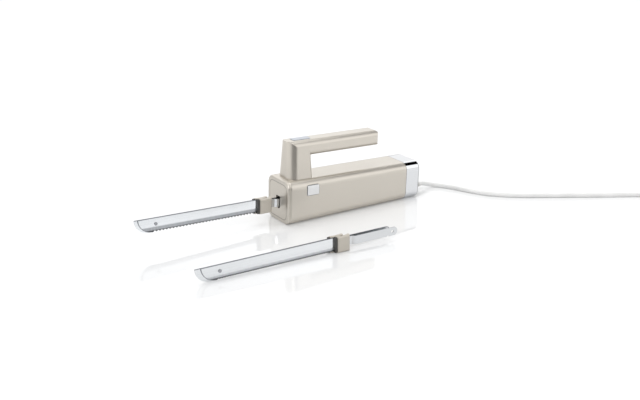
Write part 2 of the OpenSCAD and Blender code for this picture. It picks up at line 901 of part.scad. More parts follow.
// One tooth of the wheel, as four points round the angle a
function wheel_tooth(a) = [
  for (s = [[-1, -1], [-1, 1], [1, 1], [1, -1]])
    let (
      r = wheel_r + (s[1] > 0 ? addendum : -dedendum),
      half = tooth_half - (s[1] > 0 ? addendum : -dedendum) * flank,
      b = a + s[0] * half / r * 180 / PI
    ) [r * cos(b), r * sin(b)]
];

module worm_wheel() color(nylon) on_floor()
  difference() {
    along_y(-wheel_t / 2, wheel_t / 2) translate([wheel_x, wheel_z])
      polygon([for (k = [0 : wheel_teeth - 1]) each wheel_tooth(90 + (k + 0.5) * 360 / wheel_teeth)]);
    rod_y(wheel_x, -wheel_t, wheel_t, wheel_z, axle_r + run_fit);
  }

module eccentric_cams() color(steel) on_floor()
  for (side = [-1, 1]) mirror([0, side > 0 ? 1 : 0, 0]) difference() {
    rod_y(wheel_x - side * throw, -wheel_t / 2 - cam_t, -wheel_t / 2, wheel_z, cam_r);
    rod_y(wheel_x, -wheel_t / 2 - cam_t - over, 0, wheel_z, axle_r + run_fit);
  }

module wheel_axle() color(steel) on_floor()
  rod_y(wheel_x, -axle_half, axle_half, wheel_z, axle_r);

slider_x = 24;
slider_over = 6;
slider_end = tang_reach + slider_over;
slider_in = 2;
slider_out = 6.5;
slider_lip = 1.9;
slider_low = tang_low - slider_lip;
slider_high = tang_top + slider_lip;
pocket_fit = 0.08;
yoke_in = tang_gap / 2;
yoke_out = yoke_in + 3;
yoke_wall = 1.6;
// The straight yoke stands off the cam by what a crank's travel departs from a straight line
yoke_gap = throw * 0.22 + slide_fit;
yoke_half_x = cam_r + yoke_gap;
yoke_half_z = cam_r + throw + yoke_gap;
latch_x = tang_hole_x;
latch_z = (tang_low + tang_top) / 2;
latch_y = slider_out;
latch_t = 0.5;
latch_l = 16;
latch_w = 6;
latch_nose_r = 1.5;
latch_gap = 0.3;
latch_window_r = 2;

// A drive slider, drawn on the -Y side at mid stroke
module slider_form() color(nylon)
  difference() {
    union() {
      box_3d([slider_x, -slider_out, slider_low], [slider_end, -slider_in, slider_high]);
      along_y(-yoke_out, -yoke_in)
        round_2d([slider_end - 2 * yoke_wall, wheel_z - yoke_half_z - yoke_wall],
                 [wheel_x + yoke_half_x + yoke_wall, wheel_z + yoke_half_z + yoke_wall], yoke_wall);
    }
    box_3d([slider_x - over, -tang_out - pocket_fit, tang_low - pocket_fit],
           [tang_reach + latch_gap, -tang_gap / 2 + pocket_fit, tang_top + pocket_fit]);
    along_y(-slider_out, 0)
      round_2d([wheel_x - yoke_half_x, wheel_z - yoke_half_z],
               [wheel_x + yoke_half_x, wheel_z + yoke_half_z], yoke_wall / 2);
    rod_y(latch_x, -slider_out - over, -tang_out, latch_z, latch_window_r);
  }

// The leaf that holds a tang, riding on the outside of its slider
module latch_form() color(steel) {
  along_y(-latch_y - latch_t, -latch_y)
    round_2d([latch_x - latch_l / 4, latch_z - latch_w / 2],
             [latch_x + latch_l * 0.75, latch_z + latch_w / 2], latch_t);
  rod_y(latch_x, -latch_y, -tang_out - latch_gap, latch_z, latch_nose_r);
}

module left_drive_slider() mounted(-1) slider_form();
module right_drive_slider() mounted(1) mirror([0, 1, 0]) slider_form();
module left_latch_spring() mounted(-1) latch_form();
module right_latch_spring() mounted(1) mirror([0, 1, 0]) latch_form();

/* The chassis */
chassis_x0 = 12;
chassis_x1 = body_l * 0.5047;
chassis_half = 21;
chassis_z0 = pad_top(chassis_screw_x[1]);
chassis_t = 2;
chassis_top = chassis_z0 + chassis_t;
guide_x0 = 18;
guide_x1 = tang_hole_x - tang_hole_in;
guide_wall = 2.4;
guide_out = slider_out + slide_fit;
guide_floor = slider_low - slide_fit;
guide_top = slider_high + slide_fit;
foot_r = 4;
foot_h = 5;
bulkhead_x = body_l * 0.3208;
bulkhead_t = 6;
bulkhead_over = 7;
bulkhead_top = shaft_z + bulkhead_over;
bulkhead_low = wheel_z + yoke_half_z + yoke_wall + 4 * slide_fit;
rib_t = 2;

module chassis_frame() color(black) on_floor()
  difference() {
    union() {
      along_z(chassis_z0, chassis_top)
        round_2d([chassis_x0, -chassis_half], [chassis_x1, chassis_half], foot_r);
      for (x = chassis_screw_x, y = [-chassis_screw_y, chassis_screw_y])
        rod_z(x, y, pad_top(x), pad_top(x) + foot_h, foot_r);
      along_x(guide_x0, guide_x1) difference() {
        box_2d([-guide_out - guide_wall, chassis_top - over], [guide_out + guide_wall, guide_top]);
        for (side = [-1, 1])
          box_2d([min(side * guide_out, side * (slider_in - slide_fit)), guide_floor],
                 [max(side * guide_out, side * (slider_in - slide_fit)), guide_top + over]);
        box_2d([-guide_out + guide_wall, chassis_top],
               [guide_out - guide_wall, guide_floor - guide_wall]);
      }
      for (side = [-1, 1]) {
        box_3d([bulkhead_x, min(side * cheek_y, side * (cheek_y + cheek_t)), chassis_top - over],
               [wheel_x + cheek_l / 2, max(side * cheek_y, side * (cheek_y + cheek_t)),
                wheel_z + axle_r + cheek_t]);
        box_3d([bulkhead_x, min(side * cheek_y, side * (cheek_y + cheek_t)), chassis_top - over],
               [bulkhead_x + bulkhead_t, max(side * cheek_y, side * (cheek_y + cheek_t)),
                bulkhead_top]);
        along_y(side * (guide_out + guide_wall) - rib_t / 2,
                side * (guide_out + guide_wall) + rib_t / 2)
          polygon([[guide_x1 - over, chassis_top - over], [guide_x1 - over, guide_floor],
                   [bulkhead_x - over, chassis_top + rib_t], [bulkhead_x + over, chassis_top - over]]);
      }
      along_x(bulkhead_x, bulkhead_x + bulkhead_t)
        box_2d([-cheek_y - cheek_t, bulkhead_low], [cheek_y + cheek_t, bulkhead_top]);
    }
    for (x = chassis_screw_x, y = [-chassis_screw_y, chassis_screw_y])
      rod_z(x, y, -over, pad_top(x) + foot_h - screw_end, chassis_screw_r + run_fit);
    rod_x(bulkhead_x - over, bulkhead_x + bulkhead_t + over, 0, shaft_z, shaft_r + run_fit);
    rod_y(wheel_x, -axle_half - over, axle_half + over, wheel_z, axle_r + run_fit / 2);
  }

module chassis_screws() color(steel) on_floor()
  for (x = chassis_screw_x, y = [-chassis_screw_y, chassis_screw_y])
    translate([x, y, pad_top(x) - pad_seat]) screw(chassis_screw_r, pad_seat + screw_bite, flat_head_h);

screw_bite = 4;
screw_end = 0.6;
cover_t = 2;
spring_post_h = 14.5;
spring_post_w = 8;

module chassis_cover() color(black) on_floor() {
  post_x1 = leaf_x + leaf_arm - leaf_t - slide_fit;
  along_z(guide_top, guide_top + cover_t)
    round_2d([guide_x0, -guide_out - guide_wall], [post_x1, guide_out + guide_wall], rib_t);
  along_y(-spring_post_w, spring_post_w)
    polygon([[post_x1 - cover_t - spring_post_h / 2, guide_top + cover_t / 2],
             [post_x1 - cover_t, guide_top + cover_t + spring_post_h],
             [post_x1, guide_top + cover_t + spring_post_h], [post_x1, guide_top + cover_t / 2]]);
}

/* The motor */
worm_half = 7.5;
front_bracket_x = body_l * 0.447;
bracket_t = 5;
bush_r = 5;
bush_l = 7;
fan_x = body_l * 0.4897;
fan_t = 7;
fan_r = 19;
fan_blades = 9;
fan_disc_t = 1.2;
stator_x = body_l * 0.556;
stator_l = body_l * 0.1711;
rotor_r = 13;
air_gap = 0.5;
yoke_r = stator_w * 0.42;
pole_w = 19;
shoe_t = 2;
bolt_off = stator_w * 0.4;
bolt_r = 1.6;
arm_r = 3.4;
winding_l = 4.6;
com_gap = 6;
com_x = stator_x + stator_l + com_gap;
com_l = 10;
com_r = 9;
com_bars = 12;
rear_gap = 3;
shaft_tail = 13;
rear_bracket_x = com_x + com_l + rear_gap;
shaft_x0 = bulkhead_x + rib_t / 4;
shaft_x1 = rear_bracket_x + shaft_tail;
hub_r = 8;

module motor_shaft() color(steel) on_floor()
  rod_x(shaft_x0, shaft_x1, 0, shaft_z, shaft_r);

// Point on the worm's left-hand thread at the angle a, off its axis by r and along it by dx
function thread_point(a, r, dx) = [
  wheel_x - gear_pitch * (a + 90) / 360 + dx, r * cos(a), shaft_z + r * sin(a)
];
thread_a = floor(360 * (worm_half - gear_pitch) / gear_pitch / 15) * 15;
root_half = tooth_half + dedendum * flank;
crest_half = tooth_half - addendum * flank;

module worm() color(steel) on_floor()
  difference() {
    union() {
      rod_x(wheel_x - worm_half, wheel_x + worm_half, 0, shaft_z, worm_r - dedendum);
      skin([for (i = [-thread_a / 15 : thread_a / 15]) [
        thread_point(-90 + i * 15, worm_r - dedendum - run_fit * 5, root_half),
        thread_point(-90 + i * 15, worm_r - dedendum - run_fit * 5, -root_half),
        thread_point(-90 + i * 15, worm_r + addendum, -crest_half),
        thread_point(-90 + i * 15, worm_r + addendum, crest_half)
      ]]);
    }
    rod_x(wheel_x - worm_half - over, wheel_x + worm_half + over, 0, shaft_z, shaft_r + run_fit / 2);
  }

module rotor_core() color(steel) on_floor()
  along_x(stator_x, stator_x + stator_l) translate([0, shaft_z]) difference() {
    circle(rotor_r);
    circle(shaft_r + run_fit / 2);
    for (k = [0 : com_bars - 1]) rotate(k * 360 / com_bars) {
      box_2d([rotor_r * 0.55, -rotor_r * 0.1], [rotor_r * 0.92, rotor_r * 0.1]);
      box_2d([rotor_r * 0.9, -rotor_r * 0.045], [rotor_r + over, rotor_r * 0.045]);
    }
  }

module rotor_winding() color(copper) on_floor()
  for (x = [stator_x - winding_l, stator_x + stator_l])
    translate([x, 0, shaft_z]) rotate([90, 0, 90]) rotate_extrude()
      round_2d([shaft_r * 1.6, 0], [rotor_r * 0.9, winding_l], winding_l / 2.2);

module commutator() color(copper) on_floor()
  along_x(com_x, com_x + com_l) translate([0, shaft_z]) difference() {
    circle(com_r);
    circle(shaft_r + run_fit / 2);
    for (k = [0 : com_bars - 1]) rotate((k + 0.5) * 360 / com_bars)
      box_2d([com_r * 0.8, -com_r * 0.04], [com_r + over, com_r * 0.04]);
  }

module cooling_fan() color(white) on_floor()
  difference() {
    union() {
      rod_x(fan_x, fan_x + fan_t, 0, shaft_z, hub_r);
      rod_x(fan_x + fan_t - fan_disc_t, fan_x + fan_t, 0, shaft_z, fan_r);
      for (k = [0 : fan_blades - 1])
        translate([0, 0, shaft_z]) rotate([k * 360 / fan_blades, 0, 0])
          box_3d([fan_x, -leaf_t, hub_r - over], [fan_x + fan_t, leaf_t, fan_r]);
    }
    rod_x(fan_x - over, fan_x + fan_t + over, 0, shaft_z, shaft_r + run_fit / 2);
  }

module stator_core() color(steel) on_floor()
  along_x(stator_x, stator_x + stator_l) translate([0, shaft_z]) difference() {
    union() {
      difference() {
        round_2d([-stator_w / 2, -stator_w / 2], [stator_w / 2, stator_w / 2], edge_r * 0.3);
        circle(yoke_r);
      }
      intersection() {
        union() {
          box_2d([-pole_w / 2, -stator_w / 2 + over], [pole_w / 2, stator_w / 2 - over]);
          difference() {
            circle(rotor_r + air_gap + shoe_t);
            box_2d([-rotor_r * 2, -rotor_r * 0.6], [rotor_r * 2, rotor_r * 0.6]);
          }
        }
        circle(yoke_r + over);
      }
    }
    circle(rotor_r + air_gap);
    for (s = [-1, 1]) translate([s * bolt_off, s * bolt_off]) circle(bolt_r + run_fit);
  }

coil_gap = 0.3;

module field_coils() color(copper) on_floor()
  for (s = [-1, 1])
    intersection() {
      along_z(shaft_z + (s > 0 ? coil_low : -coil_high), shaft_z + (s > 0 ? coil_high : -coil_low))
        difference() {
          round_2d([stator_x - winding_l, -pole_w / 2 - winding_l + over],
                   [stator_x + stator_l + winding_l, pole_w / 2 + winding_l - over], winding_l);
          round_2d([stator_x - coil_gap, -pole_w / 2 - coil_gap],
                   [stator_x + stator_l + coil_gap, pole_w / 2 + coil_gap], coil_gap);
        }
      difference() {
        rod_x(stator_x - 2 * winding_l, stator_x + stator_l + 2 * winding_l, 0, shaft_z,
              yoke_r - coil_gap);
        rod_x(stator_x - 3 * winding_l, stator_x + stator_l + 3 * winding_l, 0, shaft_z,
              rotor_r + air_gap + shoe_t + coil_gap);
      }
    }

coil_low = 8;
coil_high = 20;

// A bronze bush with a rounded outside
module bush(x) {
  intersection() {
    translate([x + bush_l / 2, 0, shaft_z]) sphere(bush_r + over / 2);
    difference() {
      rod_x(x, x + bush_l, 0, shaft_z, bush_r + over);
      rod_x(x - over, x + bush_l + over, 0, shaft_z, shaft_r + run_fit);
    }
  }
}

module front_bush() color(brass) on_floor() bush(front_bracket_x - over);
module rear_bush() color(brass) on_floor() bush(rear_bracket_x - over);

// End bracket of the motor: a plate with a ring for its bush and arms to the stator
module bracket_form(x, arm_x0, arm_x1, foot) {
  difference() {
    union() {
      along_x(x, x + bracket_t) difference() {
        union() {
          intersection() {
            round_2d([-stator_w / 2, shaft_z - stator_w / 2], [stator_w / 2, shaft_z + stator_w / 2],
                     edge_r * 0.3);
            union() {
              translate([0, shaft_z]) rotate(45)
                box_2d([-stator_w, -arm_r], [stator_w, arm_r]);
              translate([0, shaft_z]) circle(bush_r + 2.5 * over);
              box_2d([-arm_r, foot], [arm_r, shaft_z]);
            }
          }
          box_2d([-pole_w / 2, foot], [pole_w / 2, shaft_z - stator_w / 2 + arm_r]);
          box_2d([-arm_r, foot], [arm_r, shaft_z]);
        }
      }
      rod_x(x - over, x + bush_l - over, 0, shaft_z, bush_r + 2.5 * over);
      for (s = [-1, 1])
        rod_x(arm_x0, arm_x1, s * bolt_off, shaft_z + s * bolt_off, arm_r);
    }
    rod_x(x - 2 * over, x + bush_l + over, 0, shaft_z, bush_r + over / 2 + run_fit / 2);
    for (s = [-1, 1])
      rod_x(arm_x0 - over, arm_x1 + over, s * bolt_off, shaft_z + s * bolt_off, bolt_r + run_fit);
  }
}

module front_bracket() color(chrome_grey) on_floor()
  bracket_form(front_bracket_x, front_bracket_x, stator_x, chassis_top);

brush_w = 6;
brush_h = 7;
holder_t = 0.8;
ear_t = 2;
ear_gap = 2.5;
ear_in = com_r + ear_gap;
ear_out = stator_w / 2 - over / 2;
brush_x = com_x + com_l / 2;
rear_foot = floor_at(rear_bracket_x + bracket_t) + coil_gap / 3;

module rear_bracket() color(black) on_floor() {
  difference() {
    union() {
      bracket_form(rear_bracket_x, stator_x + stator_l, rear_bracket_x + bracket_t, rear_foot);
      for (s = [-1, 1]) mirror([0, s > 0 ? 1 : 0, 0]) {
        box_3d([brush_x - brush_w / 2 - holder_t - ear_t, -ear_out,
                shaft_z - brush_h / 2 - holder_t - ear_t],
               [rear_bracket_x + over, -ear_in, shaft_z + brush_h / 2 + holder_t + ear_t]);
        box_3d([rear_bracket_x, -ear_out, shaft_z - ear_t * 2],
               [rear_bracket_x + bracket_t, -bush_r, shaft_z + ear_t * 2]);
        rod_x(rear_bracket_x, board_x, -bolt_off, shaft_z, ear_t);
      }
    }
    for (s = [-1, 1]) mirror([0, s > 0 ? 1 : 0, 0])
      box_3d([brush_x - brush_w / 2 - holder_t, -ear_out - over, shaft_z - brush_h / 2 - holder_t],
             [brush_x + brush_w / 2 + holder_t, -ear_in + over, shaft_z + brush_h / 2 + holder_t]);
    rod_x(rear_bracket_x - 2 * over, rear_bracket_x + bush_l + over, 0, shaft_z,
          bush_r + over / 2 + run_fit / 2);
  }
}

module motor_bolts() color(steel) on_floor()
  for (s = [-1, 1]) {
    y = s * bolt_off;
    z = shaft_z + s * bolt_off;
    rod_x(front_bracket_x - over, rear_bracket_x + bracket_t, y, z, bolt_r);
    rod_x(rear_bracket_x + bracket_t, rear_bracket_x + bracket_t + 2 * over, y, z, arm_r * 0.85);
    rod_x(front_bracket_x - 2 * over, front_bracket_x, y, z, arm_r * 0.8);
  }

module brush_holders() color(brass) on_floor()
  for (s = [-1, 1]) mirror([0, s > 0 ? 1 : 0, 0])
    along_y(-ear_out, -com_r - holder_t) difference() {
      box_2d([brush_x - brush_w / 2 - holder_t, shaft_z - brush_h / 2 - holder_t],
             [brush_x + brush_w / 2 + holder_t, shaft_z + brush_h / 2 + holder_t]);
      box_2d([brush_x - brush_w / 2, shaft_z - brush_h / 2],
             [brush_x + brush_w / 2, shaft_z + brush_h / 2]);
    }

module carbon_brushes() color(black) on_floor()
  for (s = [-1, 1]) mirror([0, s > 0 ? 1 : 0, 0])
    difference() {
      box_3d([brush_x - brush_w / 2 + coil_gap / 3, -com_r - brush_h * 1.2,
              shaft_z - brush_h / 2 + coil_gap / 3],
             [brush_x + brush_w / 2 - coil_gap / 3, -com_r * 0.8,
              shaft_z + brush_h / 2 - coil_gap / 3]);
      rod_x(com_x - over, com_x + com_l + over, 0, shaft_z, com_r + run_fit * 2);
    }

/* Inside the rear end */
board_gap = 11;
board_x = rear_bracket_x + bracket_t + board_gap;
board_t = 1.6;
board_half = 19;
board_low = 22;
board_high = 50;

filter_l = 7;
filter_in = 3;
capacitor_l = 8;
capacitor_r = 4.5;
capacitor_up = 5;

module circuit_board() color(board_green) on_floor() {
  box_3d([board_x, -board_half, board_low], [board_x + board_t, board_half, board_high]);
  box_3d([board_x + board_t - over / 2, -board_half * 0.8, shaft_z],
         [board_x + board_t + filter_l, -board_half * 0.1, board_high - filter_in]);
  rod_x(board_x + board_t - over / 2, board_x + board_t + capacitor_l, board_half * 0.5,
        shaft_z + capacitor_up, capacitor_r);
}

clamp_l = 6;
clamp_half = 9;
clamp_gap = 0.1;
stub_r = 3.2;
stub_l = 12;

module cord_clamp() color(black) on_floor()
  difference() {
    intersection() {
      along_x(end_x - clamp_gap - clamp_l, end_x - clamp_gap)
        round_2d([-clamp_half, 0], [clamp_half, gland_z + stub_r + cap_wall], cap_wall);
      body_block(cap_x, body_l, cap_wall + clamp_gap, edge_r - cap_wall);
    }
    rod_x(end_x - clamp_l - 2 * over, end_x + over, 0, gland_z, stub_r + run_fit);
  }

gland_flange = 1.4;
gland_wall = 0.9;
gland_ring_cut = 0.35;
gland_tip_r = cord_d / 2 + gland_wall;
gland_rings = 5;

module cord_gland() color(white) on_floor()
  difference() {
    union() {
      rod_x(end_x - stub_l, end_x + over, 0, gland_z, stub_r);
      rod_x(end_x, end_x + end_t + coil_gap / 1.5, 0, gland_z, gland_seat_r);
      rod_x(end_x + end_t + coil_gap / 3, body_l, 0, gland_z, gland_seat_r + gland_flange);
      translate([body_l - over / 2, 0, gland_z]) rotate([0, 90, 0])
        cylinder(h = gland_l + over / 2, r1 = gland_r, r2 = gland_tip_r);
    }
    for (k = [0 : gland_rings - 1]) {
      x = body_l + gland_l * (0.22 + 0.15 * k);
      w = gland_l * 0.05;
      translate([x, 0, gland_z]) rotate([0, 90, 0]) difference() {
        cylinder(h = w, r = gland_r + over);
        cylinder(h = w, r = gland_tip_r - gland_ring_cut);
      }
    }
  }

/* The cord */
// Where the strain relief ends, seen from the floor
cord_x0 = (body_l + gland_l) * cos(body_tilt) + gland_z * sin(body_tilt);
cord_z0 = gland_z * cos(body_tilt) - (body_l + gland_l) * sin(body_tilt);
cord_lie = cord_d / 2;
lead_in = cord_d;
// Places along the cord's free stretch, on the floor behind the knife
CORD_ROUTE = [
  [268, 0], [276, -1], [284, -4], [292, -11], [299, -21], [305, -32], [310, -43], [316, -57],
  [323, -71], [334, -87], [348, -101], [363, -113], [384, -127], [408, -142], [434, -158],
  [462, -175], [490, -192], [518, -208], [542, -222]
];
cord_drop = [7.7, 5.6, 3.9];
coil_c = [545, -276];
coil_pitch = cord_d * 1.1;
coil_layer = cord_d * 1.08;
coil_a = 60;
coil_steps = 24;
tail_l = 40;
plug_z = 6.85;

cord_dir = [cos(body_tilt), 0, -sin(body_tilt)];
coil_dir = [sin(coil_a), -cos(coil_a), 0];
coil_start = [coil_c[0] + coil_r * cos(coil_a), coil_c[1] + coil_r * sin(coil_a), cord_lie];

CORD_POINTS = concat(
  [[cord_x0, 0, cord_z0], [cord_x0, 0, cord_z0] + cord_dir * lead_in],
  [for (i = [0 : len(CORD_ROUTE) - 1])
    [CORD_ROUTE[i][0], CORD_ROUTE[i][1], i < len(cord_drop) ? cord_drop[i] : cord_lie]],
  [coil_start - coil_dir * lead_in, coil_start]
);

// Point of a smooth curve through four points, at t between the middle two
function smooth_at(a, b, c, d, t) =
  b + 0.5 * t * ((c - a) + t * (2 * a - 5 * b + 4 * c - d + t * (3 * b - a - 3 * c + d)));
function smooth_path(p, n) = concat(
  [for (i = [0 : len(p) - 2], k = [0 : n - 1])
    smooth_at(p[max(0, i - 1)], p[i], p[i + 1], p[min(len(p) - 1, i + 2)], k / n)],
  [p[len(p) - 1]]
);

function unit(v) = v / norm(v);
function step_dir(p, i) = unit(p[min(len(p) - 1, i + 1)] - p[max(0, i - 1)]);

// A closed skin over rings of points
module skin(rings) {
  n = len(rings[0]);
  m = len(rings);
  polyhedron(
    points = [for (r = rings) each r],
    faces = concat(
      [[for (k = [n - 1 : -1 : 0]) k]],
      [for (i = [0 : m - 2], k = [0 : n - 1], half = [0, 1])
        half == 0
          ? [i * n + k, i * n + (k + 1) % n, (i + 1) * n + (k + 1) % n]
          : [i * n + k, (i + 1) * n + (k + 1) % n, (i + 1) * n + k]],
      [[for (k = [0 : n - 1]) (m - 1) * n + k]]
    )
  );
}

// A round tube along a path, with its end faces square to the given directions
module tube(path, r, sides, first = undef, last = undef) {
  m = len(path);
  skin([for (i = [0 : m - 1])
    let (
      d = i == 0 && first != undef ? first : i == m - 1 && last != undef ? last : step_dir(path, i),
      side = unit(cross(d, [0, 0, 1])),
      rise = cross(side, d)
    )
    [for (k = [0 : sides - 1])
      path[i] + r * (cos((k + 0.5) * 360 / sides) * side + sin((k + 0.5) * 360 / sides) * rise)]
  ]);
}

module power_cord() color(white)
  from_front() tube([for (p = smooth_path(CORD_POINTS, 3)) [p[0], p[1], max(p[2], cord_lie)]],
                    cord_d / 2, 10, cord_dir, coil_dir);

// Eases from 0 to 1
function ease(t) = let (u = min(1, max(0, t))) u * u * (3 - 2 * u);
coil_in = coil_r - coil_pitch * coil_turns;
// A point of the coil after t turns: inward on the floor, then outward on top
function coil_point(t) = let (
  r = t < coil_turns ? coil_r - coil_pitch * t : coil_in + coil_pitch * (t - coil_turns),
  a = coil_a - 360 * t,
  z = cord_lie + coil_layer * ease(2 * (t - coil_turns) + 0.5)
) [coil_c[0] + r * cos(a), coil_c[1] + r * sin(a), z];

coil_end_a = coil_a - 720 * coil_turns;
coil_end = coil_point(2 * coil_turns);
tail_dir = [sin(coil_end_a), -cos(coil_end_a), 0];
tail_drop = cord_lie + coil_layer - plug_z;
function tail_point(s) = coil_end + tail_dir * s
  - [0, 0, tail_drop * ease((s - lead_in) / (tail_l - 2 * lead_in))];

COIL_POINTS = concat(
  [coil_start],
  [for (i = [1 : 2 * coil_turns * coil_steps - 1]) coil_point(i / coil_steps)],
  [for (s = [0, 0.2, 0.35, 0.5, 0.65, 0.8, 1]) tail_point(s * tail_l)]
);

module cord_coil() color(white)
  from_front() tube(COIL_POINTS, cord_d / 2, 6, coil_dir, tail_dir);

// The least gap between the coil's turns, and the cord's whole length
function path_l(p) = [for (i = [1 : len(p) - 1]) norm(p[i] - p[i - 1])] * [for (i = [1 : len(p) - 1]) 1];
coil_gaps = [for (i = [0 : 2 : len(COIL_POINTS) - 1], j = [i + coil_steps / 2 : len(COIL_POINTS) - 1])
  norm(COIL_POINTS[i] - COIL_POINTS[j]) - cord_d];
echo(coil_least_gap = min(coil_gaps));
echo(cord_length = path_l(smooth_path(CORD_POINTS, 3)) + path_l(COIL_POINTS));

/* The plug: a flat two-pin mains plug */
plug_l = 35.4;
plug_w = 26;
plug_neck_w = 13;
plug_t = 13.7;
plug_relief_l = 22;
pin_l = 19;
pin_r = 2;
pin_gap = 18.6;
plug_at = tail_point(tail_l);

module at_plug() {
  from_front() translate(plug_at) rotate([0, 0, coil_end_a - 90]) children();
}

module plug_body() color(white) at_plug() {
  intersection() {
    along_y(-plug_w, plug_w)
      round_2d([plug_relief_l - over, -plug_t / 2], [plug_relief_l + plug_l, plug_t / 2], plug_t / 4);
    along_z(-plug_t, plug_t) polygon([
      [plug_relief_l - 2 * over, -plug_neck_w / 2], [plug_relief_l + plug_l * 0.45, -plug_w / 2],
      [plug_relief_l + plug_l, -plug_w / 2], [plug_relief_l + plug_l, plug_w / 2],
      [plug_relief_l + plug_l * 0.45, plug_w / 2], [plug_relief_l - 2 * over, plug_neck_w / 2]
    ]);
  }
  rotate([0, 90, 0]) cylinder(h = plug_relief_l + over, r1 = gland_tip_r, r2 = plug_t * 0.4);
}

module plug_pins() color(chrome_grey) at_plug()
  for (s = [-1, 1]) {
    rod_x(plug_relief_l + plug_l, plug_relief_l + plug_l + pin_l - pin_r, s * pin_gap / 2, 0, pin_r);
    translate([plug_relief_l + plug_l + pin_l - pin_r, s * pin_gap / 2, 0]) sphere(pin_r);
  }

body_sleeve();
front_plate();
rear_cap();
end_plate();
handle_left_half();
handle_right_half();
handle_screws();
switch_button();
switch_spring();
microswitch();
release_button_left();
release_button_right();
release_spring();
chassis_frame();
chassis_cover();
chassis_screws();
left_drive_slider();
right_drive_slider();
left_latch_spring();
right_latch_spring();
worm_wheel();
eccentric_cams();
wheel_axle();
motor_shaft();
worm();
rotor_core();
rotor_winding();
commutator();
cooling_fan();
stator_core();
field_coils();
front_bush();
rear_bush();
front_bracket();
rear_bracket();
motor_bolts();
brush_holders();
carbon_brushes();
circuit_board();
cord_clamp();
cord_gland();
power_cord();
cord_coil();
plug_body();
plug_pins();
left_blade();
right_blade();
blade_rivet();
left_block_nose();
right_block_nose();
left_block_cover();
right_block_cover();
spare_left_blade();
spare_right_blade();
spare_rivet();
spare_left_nose();
spare_right_nose();
spare_left_cover();
spare_right_cover();
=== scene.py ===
import functools
import json
import math

import bmesh
import bpy
import numpy as np
from mathutils import Matrix, Vector

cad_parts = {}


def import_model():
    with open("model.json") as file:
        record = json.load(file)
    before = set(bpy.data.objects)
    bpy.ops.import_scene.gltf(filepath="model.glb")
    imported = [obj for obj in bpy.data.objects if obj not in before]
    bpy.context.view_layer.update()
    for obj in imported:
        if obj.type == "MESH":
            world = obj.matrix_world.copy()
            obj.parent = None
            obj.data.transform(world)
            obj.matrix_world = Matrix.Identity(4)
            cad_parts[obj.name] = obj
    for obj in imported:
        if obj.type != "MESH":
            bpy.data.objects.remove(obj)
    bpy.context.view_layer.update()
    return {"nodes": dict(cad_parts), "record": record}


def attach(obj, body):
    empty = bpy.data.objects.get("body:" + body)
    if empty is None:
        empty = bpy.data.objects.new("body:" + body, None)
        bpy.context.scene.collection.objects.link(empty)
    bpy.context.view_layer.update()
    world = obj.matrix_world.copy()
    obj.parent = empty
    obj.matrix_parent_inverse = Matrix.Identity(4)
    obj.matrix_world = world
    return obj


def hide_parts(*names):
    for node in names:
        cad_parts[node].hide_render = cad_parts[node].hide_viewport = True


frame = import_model()
NODES = frame["nodes"]
MM = 0.001
DEG = math.radians(1)

# The camera, at the photograph's viewing angle
VIEW_FROM = (-0.7033, -1.0768, 0.4791)
VIEW_RIGHT = (0.8434, -0.5373, 0.0)
VIEW_UP = (0.1827, 0.2868, 0.9404)
VIEW_BACK = (-0.5053, -0.7932, 0.3400)
LENS_MM, SENSOR_MM = 51.41, 36.0
CLIP_FROM, CLIP_TO = 0.05, 30.0


def place_camera():
    """Puts the camera where the photograph was taken from."""
    lens = bpy.data.cameras.new("camera")
    lens.lens = LENS_MM
    lens.sensor_width = SENSOR_MM
    lens.sensor_fit = "HORIZONTAL"
    lens.clip_start = CLIP_FROM
    lens.clip_end = CLIP_TO
    camera = bpy.data.objects.new("camera", lens)
    turn = Matrix((VIEW_RIGHT, VIEW_UP, VIEW_BACK)).transposed().to_4x4()
    camera.matrix_world = Matrix.Translation(VIEW_FROM) @ turn
    bpy.context.scene.collection.objects.link(camera)
    bpy.context.scene.camera = camera


place_camera()

# The knife's own frame: X runs back from its front, Z up from its underside, which stands on the
# floor tipped by TILT. FRONT is how far the front lies from the origin of the shared frame, in mm.
# KNIFE_FRAME is the shift and then the turn that take a place in the shared frame to its own.
TILT = 1.72 * DEG
FRONT = 90.0
KNIFE_FRAME = ((FRONT * MM, 0, 0), (0, -TILT, 0))


def tilted(points):
    """Points of the knife's own frame in mm, turned by the tilt about Y."""
    x, y, z = np.moveaxis(np.asarray(points, float), -1, 0)
    c, s = math.cos(TILT), math.sin(TILT)
    return np.stack([x * c + z * s, y, z * c - x * s], -1)


def in_metres(points):
    """From mm behind the knife's front to metres in the shared frame."""
    return (np.asarray(points, float) - [FRONT, 0, 0]) * MM


def add_piece(name, verts, faces, smooth=True, closed=False):
    """A mesh object at the origin. A closed one has its faces turned outward."""
    mesh = bpy.data.meshes.new(name)
    mesh.from_pydata(verts, [], faces)
    if closed:
        shell = bmesh.new()
        shell.from_mesh(mesh)
        if shell.calc_volume(signed=True) < 0:
            bmesh.ops.reverse_faces(shell, faces=shell.faces)
        shell.to_mesh(mesh)
        shell.free()
    mesh.update()
    mesh.polygons.foreach_set("use_smooth", np.full(len(mesh.polygons), smooth))
    piece = bpy.data.objects.new(name, mesh)
    bpy.context.scene.collection.objects.link(piece)
    return piece


